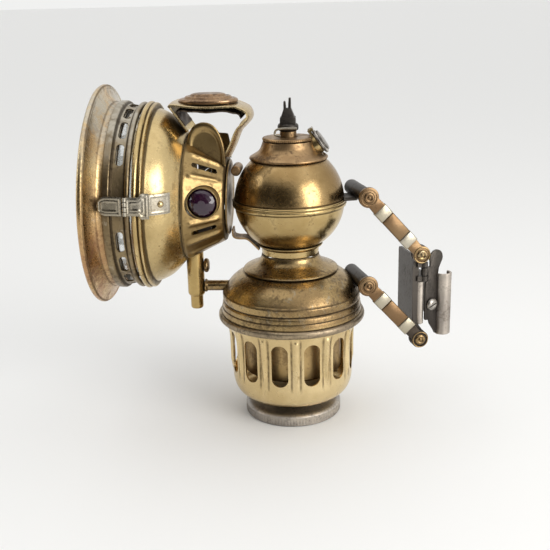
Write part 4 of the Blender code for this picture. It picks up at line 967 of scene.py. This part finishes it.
rod("hinge_roll_low", 1.5, (0, 0, -9), (0, 0, -3.8), "nickel", "lamp", matrix=HINGE)
rod("hinge_roll_high", 1.5, (0, 0, 3.8), (0, 0, 9), "nickel", "lamp", matrix=HINGE)

# burner
tube = soft([(0, 97), (2.2, 97), (2.2, 86), (4.1, 85), (4.1, 80.0), (4.1, 66), (4.1, 60.2), (3.6, 59.2),
    (3.05, 59.0), (3.0, 57), (3.0, 53.2), (2.6, 52.5), (0, 52.5)], 0.35, 3)
lathe("burner_pipe", tube, "tube", "lamp", "burner_tube", matrix=TUBE, closed=False, steps=64)
side_pipe = soft([(0, 11.3), (2.5, 11.3), (2.5, 8), (2.5, 3), (2.5, 1.2), (3.1, 0.8), (3.2, 0.0), (0, 0)],
    0.3, 3)
lathe("side_pipe", side_pipe, "dome", "lamp", "gas_pipe", closed=False, steps=48,
    matrix=at(-41.3, 0, 63.6) @ turned(90, 'Y'))
plug = soft([(0, 2.0), (2.0, 2.3), (3.0, 1.9), (3.4, 1.3), (3.4, 0.6), (3.0, 0.0), (0, 0)], 0.4, 3)
plug_cut = cutter(plate_mesh(oblong(-4, -0.4, 4, 0.4), 1.0, 0), at(-39.0, 0, 73.7) @ turned(90, 'Y'))
lathe("side_plug", plug, "dome", "lamp", "cleaning_plug", closed=False, steps=48, cut=(plug_cut,),
    matrix=at(-41.3, 0, 73.7) @ turned(90, 'Y'))
strap_path = spline([(-26.8, 92.0), (-26.7, 90.0), (-26.2, 88.5), (-24.0, 87.8), (-20.5, 87.6),
    (-18.4, 86.2), (-16.6, 84.4), (-14.5, 82.2)], 5)
piece("head_bracket", sheet_mesh(strap_path, 8, 0.8, 8, lambda s, v: 0.4), "collar", "lamp", "head_strap")
roll = soft([(0, 6), (1.9, 6), (2.3, 5.6), (2.3, -5.6), (1.9, -6), (0, -6)], 0.3, 3)
lathe("head_roll", roll, "collar", "lamp", "head_hook", closed=False, steps=40,
    matrix=at(-24, 0, 120) @ turned(90, 'X'))

# ------------------------------------------------------------------ cycle bracket
ALONG_Y = turned(-90, 'X')
for word, height in (("upper", 109.0), ("lower", 67.4)):
    pivot = BRACKET @ at(0, 0, height) @ Matrix.Rotation(LINK_SLOPE, 4, 'Y')
    body = word + "_arm"
    length = LINK_LENGTH
    ear = soft([*arc((0, 0), 4.7, 40, 320, 28), (8.6, -3.3), (8.6, 3.3)], 0.8, 3, True)
    piece(word + "_ear", plate_mesh(ear, 1.8, 0.4), "link", body, word + "_link",
        matrix=pivot @ at(0, -14.2, 0) @ UPRIGHT_PLATE)
    rear_ear = soft([*arc((length, 0), 4.2, -140, 140, 28), (length - 9.4, 3.1), (length - 9.4, -3.1)], 0.8,
        3, True)
    piece(word + "_rear_ear", plate_mesh(rear_ear, 1.7, 0.4), "soot" if word == "lower" else "link", body,
        matrix=pivot @ at(0, -14.1, 0) @ UPRIGHT_PLATE)
    for label, start, end, half, thick, mat in (("ferrule_front", 7.4, 13.2, 3.5, 2.3, "ferrule"),
            ("bar", 13.1, 25.6, 3.4, 2.2, "link"), ("ferrule_rear", 25.5, 31.2, 3.5, 2.3, "ferrule")):
        line = oblong(start, -half, end, half)
        piece(word + "_" + label, plate_mesh(line, thick, 0.5), mat, body, matrix=pivot @ at(0, -14.1,
            0) @ UPRIGHT_PLATE)
    for label, spot, reach in (("front", 0.0, -2.0), ("rear", length, -9.6)):
        head = [(0, 16.0), (0.5, 15.9), (1.0, 15.4), (1.5, 15.75), (2.2, 15.6), (2.6, 15.1), (2.6, 14.4),
            (1.4, 14.4), (1.4, -reach), (0, -reach)]
        lathe(word + "_" + label + "_rivet", soft(head, 0.2, 2), "link" if label == "front" else "dome",
            body, matrix=pivot @ at(spot, 0, 0) @ turned(90, 'X'), closed=False, steps=40)
        rim = soft([(3.9, 15.35), (3.9, 14.9), (3.4, 14.9), (3.4, 15.35)], 0.2, 2, True)
        lathe(word + "_" + label + "_bead", rim, "link" if label == "front" else "dome", body,
            matrix=pivot @ at(spot, 0, 0) @ turned(90, 'X'), steps=48)
    barrel = soft([(3.0, 12.7), (3.5, 12.2), (3.5, -12.2), (3.0, -12.7), (1.8, -12.7), (1.8, 12.7)], 0.2, 2,
        True)
    lathe(word + "_sleeve", barrel, "steel", "lamp", word + "_barrel", steps=64, matrix=BRACKET @ at(0, 0,
        height) @ ALONG_Y)
    root = -8.5 if word == "upper" else -5.0
    lug = plate_mesh(oblong(root, -4.0, -2.2, 6.0), 1.8, 0.3)
    piece(word + "_lug_leaf", lug, "steel", "lamp", matrix=BRACKET @ at(0, 0, height - 2.4))

ears = [*arc((25.8, REAR_PINS[0]), 4.2, 235, -60, 26), (25.6, 73.3), (25.6, 45.7),
    *arc((25.8, REAR_PINS[1]), 4.2, 60, -235, 26), (22.6, 45.7), (22.6, 73.3)]
near_wall = cutter(plate_mesh(ears, 1.2, 0), BRACKET @ at(0, -11.1, 0) @ UPRIGHT_PLATE)
back_line = soft(oblong(-11.5, 44, 12.5, 78), 2.0, 4, True)
EDGE_PLATE = turned(90, 'Z') @ UPRIGHT_PLATE
back_wall = cutter(plate_mesh(back_line, 1.2, 0), BRACKET @ at(25.0, 0, 0) @ EDGE_PLATE)
joined = [back_wall]
for bottom, top in ((66.9, 69.4), (73.7, 76.0)):
    joined.append(cutter(rod_mesh(1.6, (28.2, -12.2, bottom), (28.2, -12.2, top), 32, 0.15), BRACKET))
    web = plate_mesh(oblong(24.6, -12.9, 28.2, -11.5), top - bottom, 0)
    joined.append(cutter(web, BRACKET @ at(0, 0, (top + bottom) / 2)))
bores = [cutter(rod_mesh(1.8, (25.8, -14, z), (25.8, -9, z), 32), BRACKET) for z in REAR_PINS]
carve(near_wall, bores, "clamp_channel", "steel", "clamp", "clamp_frame", joined=joined)
pad_line = soft(oblong(-9.9, 45.0, 11.0, 66.7), 1.0, 3, True)
pad = cutter(plate_mesh(pad_line, 1.2, 0.2), BRACKET @ at(26.6, 0, 0) @ EDGE_PLATE)
pad_roll = cutter(rod_mesh(2.1, (26.7, -10.1, 45.2), (26.7, -10.1, 66.5), 40, 0.3), BRACKET)
carve(pad, (), "clamp_pad", "lip", "clamp", "jaw_pad", joined=(pad_roll,))
web_line = soft([(0.6, 47.2), (3.0, 46.9), (3.6, 44.8), (6.2, 41.0), (7.0, 39.4), (8.2, 39.0), (8.2, 69.2),
    (8.6, 71.8), *arc((6.85, 77.0), 3.95, -35, 200, 24), (3.2, 73.4), (0, 73.4), (0, 69.7), (2.0, 69.7),
    (2.0, 66.4), (0.6, 65.8)], 0.5, 3, True)
web = cutter(plate_mesh(web_line, 1.0, 0.2), JAW @ Matrix.Rotation(JAW_SET, 4, 'Z') @ UPRIGHT_PLATE)
grip = cutter(plate_mesh(oblong(5.2, 1.8, 6.2, 21.2), 19, 0), JAW @ at(0, 0, 56.5))
out = Vector((sin(JAW_SET), -cos(JAW_SET), 0))
spot = Vector((3.9, 1.38, 54.7))
bore = cutter(rod_mesh(2.0, spot - out * 3, spot + out * 3, 32), JAW)
carve(web, (bore,), "jaw_web", "steel", "jaw", "outer_jaw", joined=(grip,))


def channel(name, centre, radius, wall, low, high, start, end, mat, body, matrix):
    """Upright half-round lip, hammered slightly out of true, with softened top and bottom."""
    bm = bmesh.new()
    levels = [low, low + 0.25] + [low + (high - low) * t / 24 for t in range(1, 24)] + [high - 0.25, high]
    grid = []
    for z in levels:
        pull = 0.2 if z in (low, high) else 0.0
        ring = []
        for k in range(41):
            a = radians(start + (end - start) * k / 40)
            r = radius - pull + 0.10 * noise.noise(Vector((a * 3, z * 0.18, 1)))
            ring.append((centre[0] + r * cos(a), centre[1] + r * sin(a), z))
        for k in range(40, -1, -1):
            a = radians(start + (end - start) * k / 40)
            r = radius - wall + pull
            ring.append((centre[0] + r * cos(a), centre[1] + r * sin(a), z))
        grid.append([bm.verts.new(Vector(c) * MM) for c in ring])
    size = len(grid[0])
    for first, second in zip(grid, grid[1:]):
        strip(bm, second, first, True)
    for k in range(40):
        bm.faces.new((grid[0][k], grid[0][size - 1 - k], grid[0][size - 2 - k], grid[0][k + 1]))
        bm.faces.new((grid[-1][k], grid[-1][k + 1], grid[-1][size - 2 - k], grid[-1][size - 1 - k]))
    piece(name, bm, mat, body, matrix=matrix)


channel("jaw_lip", (11.1, 4.0), 4.0, 1.0, 38.7, 69.1, 200, 395, "lip", "jaw", JAW)
rod("jaw_roll", 1.6, (0, 0, 69.7), (0, 0, 73.4), "steel", "jaw", matrix=JAW)
screw = soft([(0, 2.3), (1.6, 2.5), (2.6, 2.0), (3.0, 1.4), (3.0, 0.8), (1.5, 0.8), (1.5, -2.6), (0, -2.6)],
    0.3, 3)
SCREW = JAW @ Matrix.Translation(spot * MM) @ Matrix.Rotation(JAW_SET, 4, 'Z') @ turned(90, 'X')
driver = cutter(plate_mesh(oblong(-3.5, -0.35, 3.5, 0.35), 1.4, 0), SCREW @ at(0, 0, 2.5) @ turned(20, 'Z'))
lathe("jaw_screw_head", screw, "pale_steel", "jaw_screw", "clamp_screw", matrix=SCREW, closed=False,
    steps=40, cut=(driver,))

# CAD pieces kept as they are, mostly inside, with worn finishes
for node, mat in (("drip_tube", "tube"), ("gasket_seat", "canister"), ("rubber_gasket", "rubber"),
        ("pressure_plate", "foot"), ("clamp_spindle", "foot"), ("twin_jet_burner", "stone")):
    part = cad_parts[node]
    if part.hide_render:
        continue
    for entry in part.material_slots:
        entry.material = MAT[mat]

# ------------------------------------------------------------------ floor, light and camera
floor_mesh = bpy.data.meshes.new("floor")
floor_mesh.from_pydata([(-0.9, -0.55, 0), (0.9, -0.55, 0), (40, 60, 0), (-40, 60, 0)], [], [(0, 1, 2, 3)])
floor = bpy.data.objects.new("floor", floor_mesh)
bpy.context.scene.collection.objects.link(floor)
floor_look = bpy.data.materials.new("pale_floor")
floor_look.use_nodes = True
floor_look.node_tree.nodes["Principled BSDF"].inputs["Base Color"].default_value = (0.84, 0.84, 0.83, 1)
floor_look.node_tree.nodes["Principled BSDF"].inputs["Roughness"].default_value = 0.7
floor_mesh.materials.append(floor_look)


def area(name, place, target, size_x, size_y, power, colour=(1, 1, 1)):
    data = bpy.data.lights.new(name, 'AREA')
    data.shape = 'RECTANGLE'
    data.size, data.size_y, data.energy, data.color = size_x, size_y, power, colour
    lamp = bpy.data.objects.new(name, data)
    lamp.location = place
    lamp.rotation_euler = (Vector(target) - Vector(place)).to_track_quat('-Z', 'Y').to_euler()
    bpy.context.scene.collection.objects.link(lamp)


area("window_right", (0.62, -0.50, 0.30), (0, 0, 0.09), 0.46, 0.66, 4.6, (1.0, 0.98, 0.95))
area("window_left", (-0.80, -0.10, 0.40), (0, 0, 0.08), 0.20, 0.60, 1.0, (0.97, 0.98, 1.0))

world = bpy.data.worlds.new("studio")
world.use_nodes = True
bpy.context.scene.world = world
tree = world.node_tree
coordinates = tree.nodes.new("ShaderNodeTexCoord")
split = tree.nodes.new("ShaderNodeSeparateXYZ")
tree.links.new(coordinates.outputs["Generated"], split.inputs[0])


def ramp(socket, low, high):
    node = tree.nodes.new("ShaderNodeMapRange")
    node.interpolation_type = 'SMOOTHSTEP'
    node.inputs["From Min"].default_value = low
    node.inputs["From Max"].default_value = high
    tree.links.new(socket, node.inputs["Value"])
    return node.outputs["Result"]


def blend(factor, first, second):
    node = tree.nodes.new("ShaderNodeMix")
    node.data_type = 'RGBA'
    tree.links.new(factor, node.inputs[0])
    for socket, value in ((node.inputs[6], first), (node.inputs[7], second)):
        if isinstance(value, bpy.types.NodeSocket):
            tree.links.new(value, socket)
        else:
            socket.default_value = (*value, 1)
    return node.outputs[2]


facing = tree.nodes.new("ShaderNodeVectorMath")
facing.operation = 'DOT_PRODUCT'
tree.links.new(coordinates.outputs["Generated"], facing.inputs[0])
facing.inputs[1].default_value = (-0.66, -0.75, 0.0)
sides = blend(ramp(facing.outputs["Value"], 0.05, 0.75), (0.88, 0.88, 0.87), (0.040, 0.036, 0.032))
dome_light = blend(ramp(split.outputs["Z"], 0.55, 0.90), sides, (1.25, 1.25, 1.25))
tree.links.new(dome_light, tree.nodes["Background"].inputs["Color"])

AZIMUTH, ELEVATION, ROLL = radians(3.9), radians(17.0), radians(-1.41)
DISTANCE, FOCAL = 0.4306, 900.0
target = Vector((-0.0076, 0.0, 0.0686))
back = Vector((sin(AZIMUTH) * cos(ELEVATION), -cos(AZIMUTH) * cos(ELEVATION), sin(ELEVATION)))
right = Vector((cos(AZIMUTH), sin(AZIMUTH), 0))
up = back.cross(right)
roll_right = right * cos(ROLL) + up * sin(ROLL)
roll_up = -right * sin(ROLL) + up * cos(ROLL)
camera = bpy.data.objects.new("camera", bpy.data.cameras.new("camera"))
bpy.context.scene.collection.objects.link(camera)
camera.data.sensor_width = 36.0
camera.data.lens = 36.0 * FOCAL / 550
camera.data.clip_start = 0.01
camera.data.clip_end = 50
turn = Matrix((roll_right, roll_up, back)).transposed().to_4x4()
camera.matrix_world = Matrix.Translation(target + back * DISTANCE) @ turn
bpy.context.scene.camera = camera
bpy.context.scene.view_settings.view_transform = 'Standard'
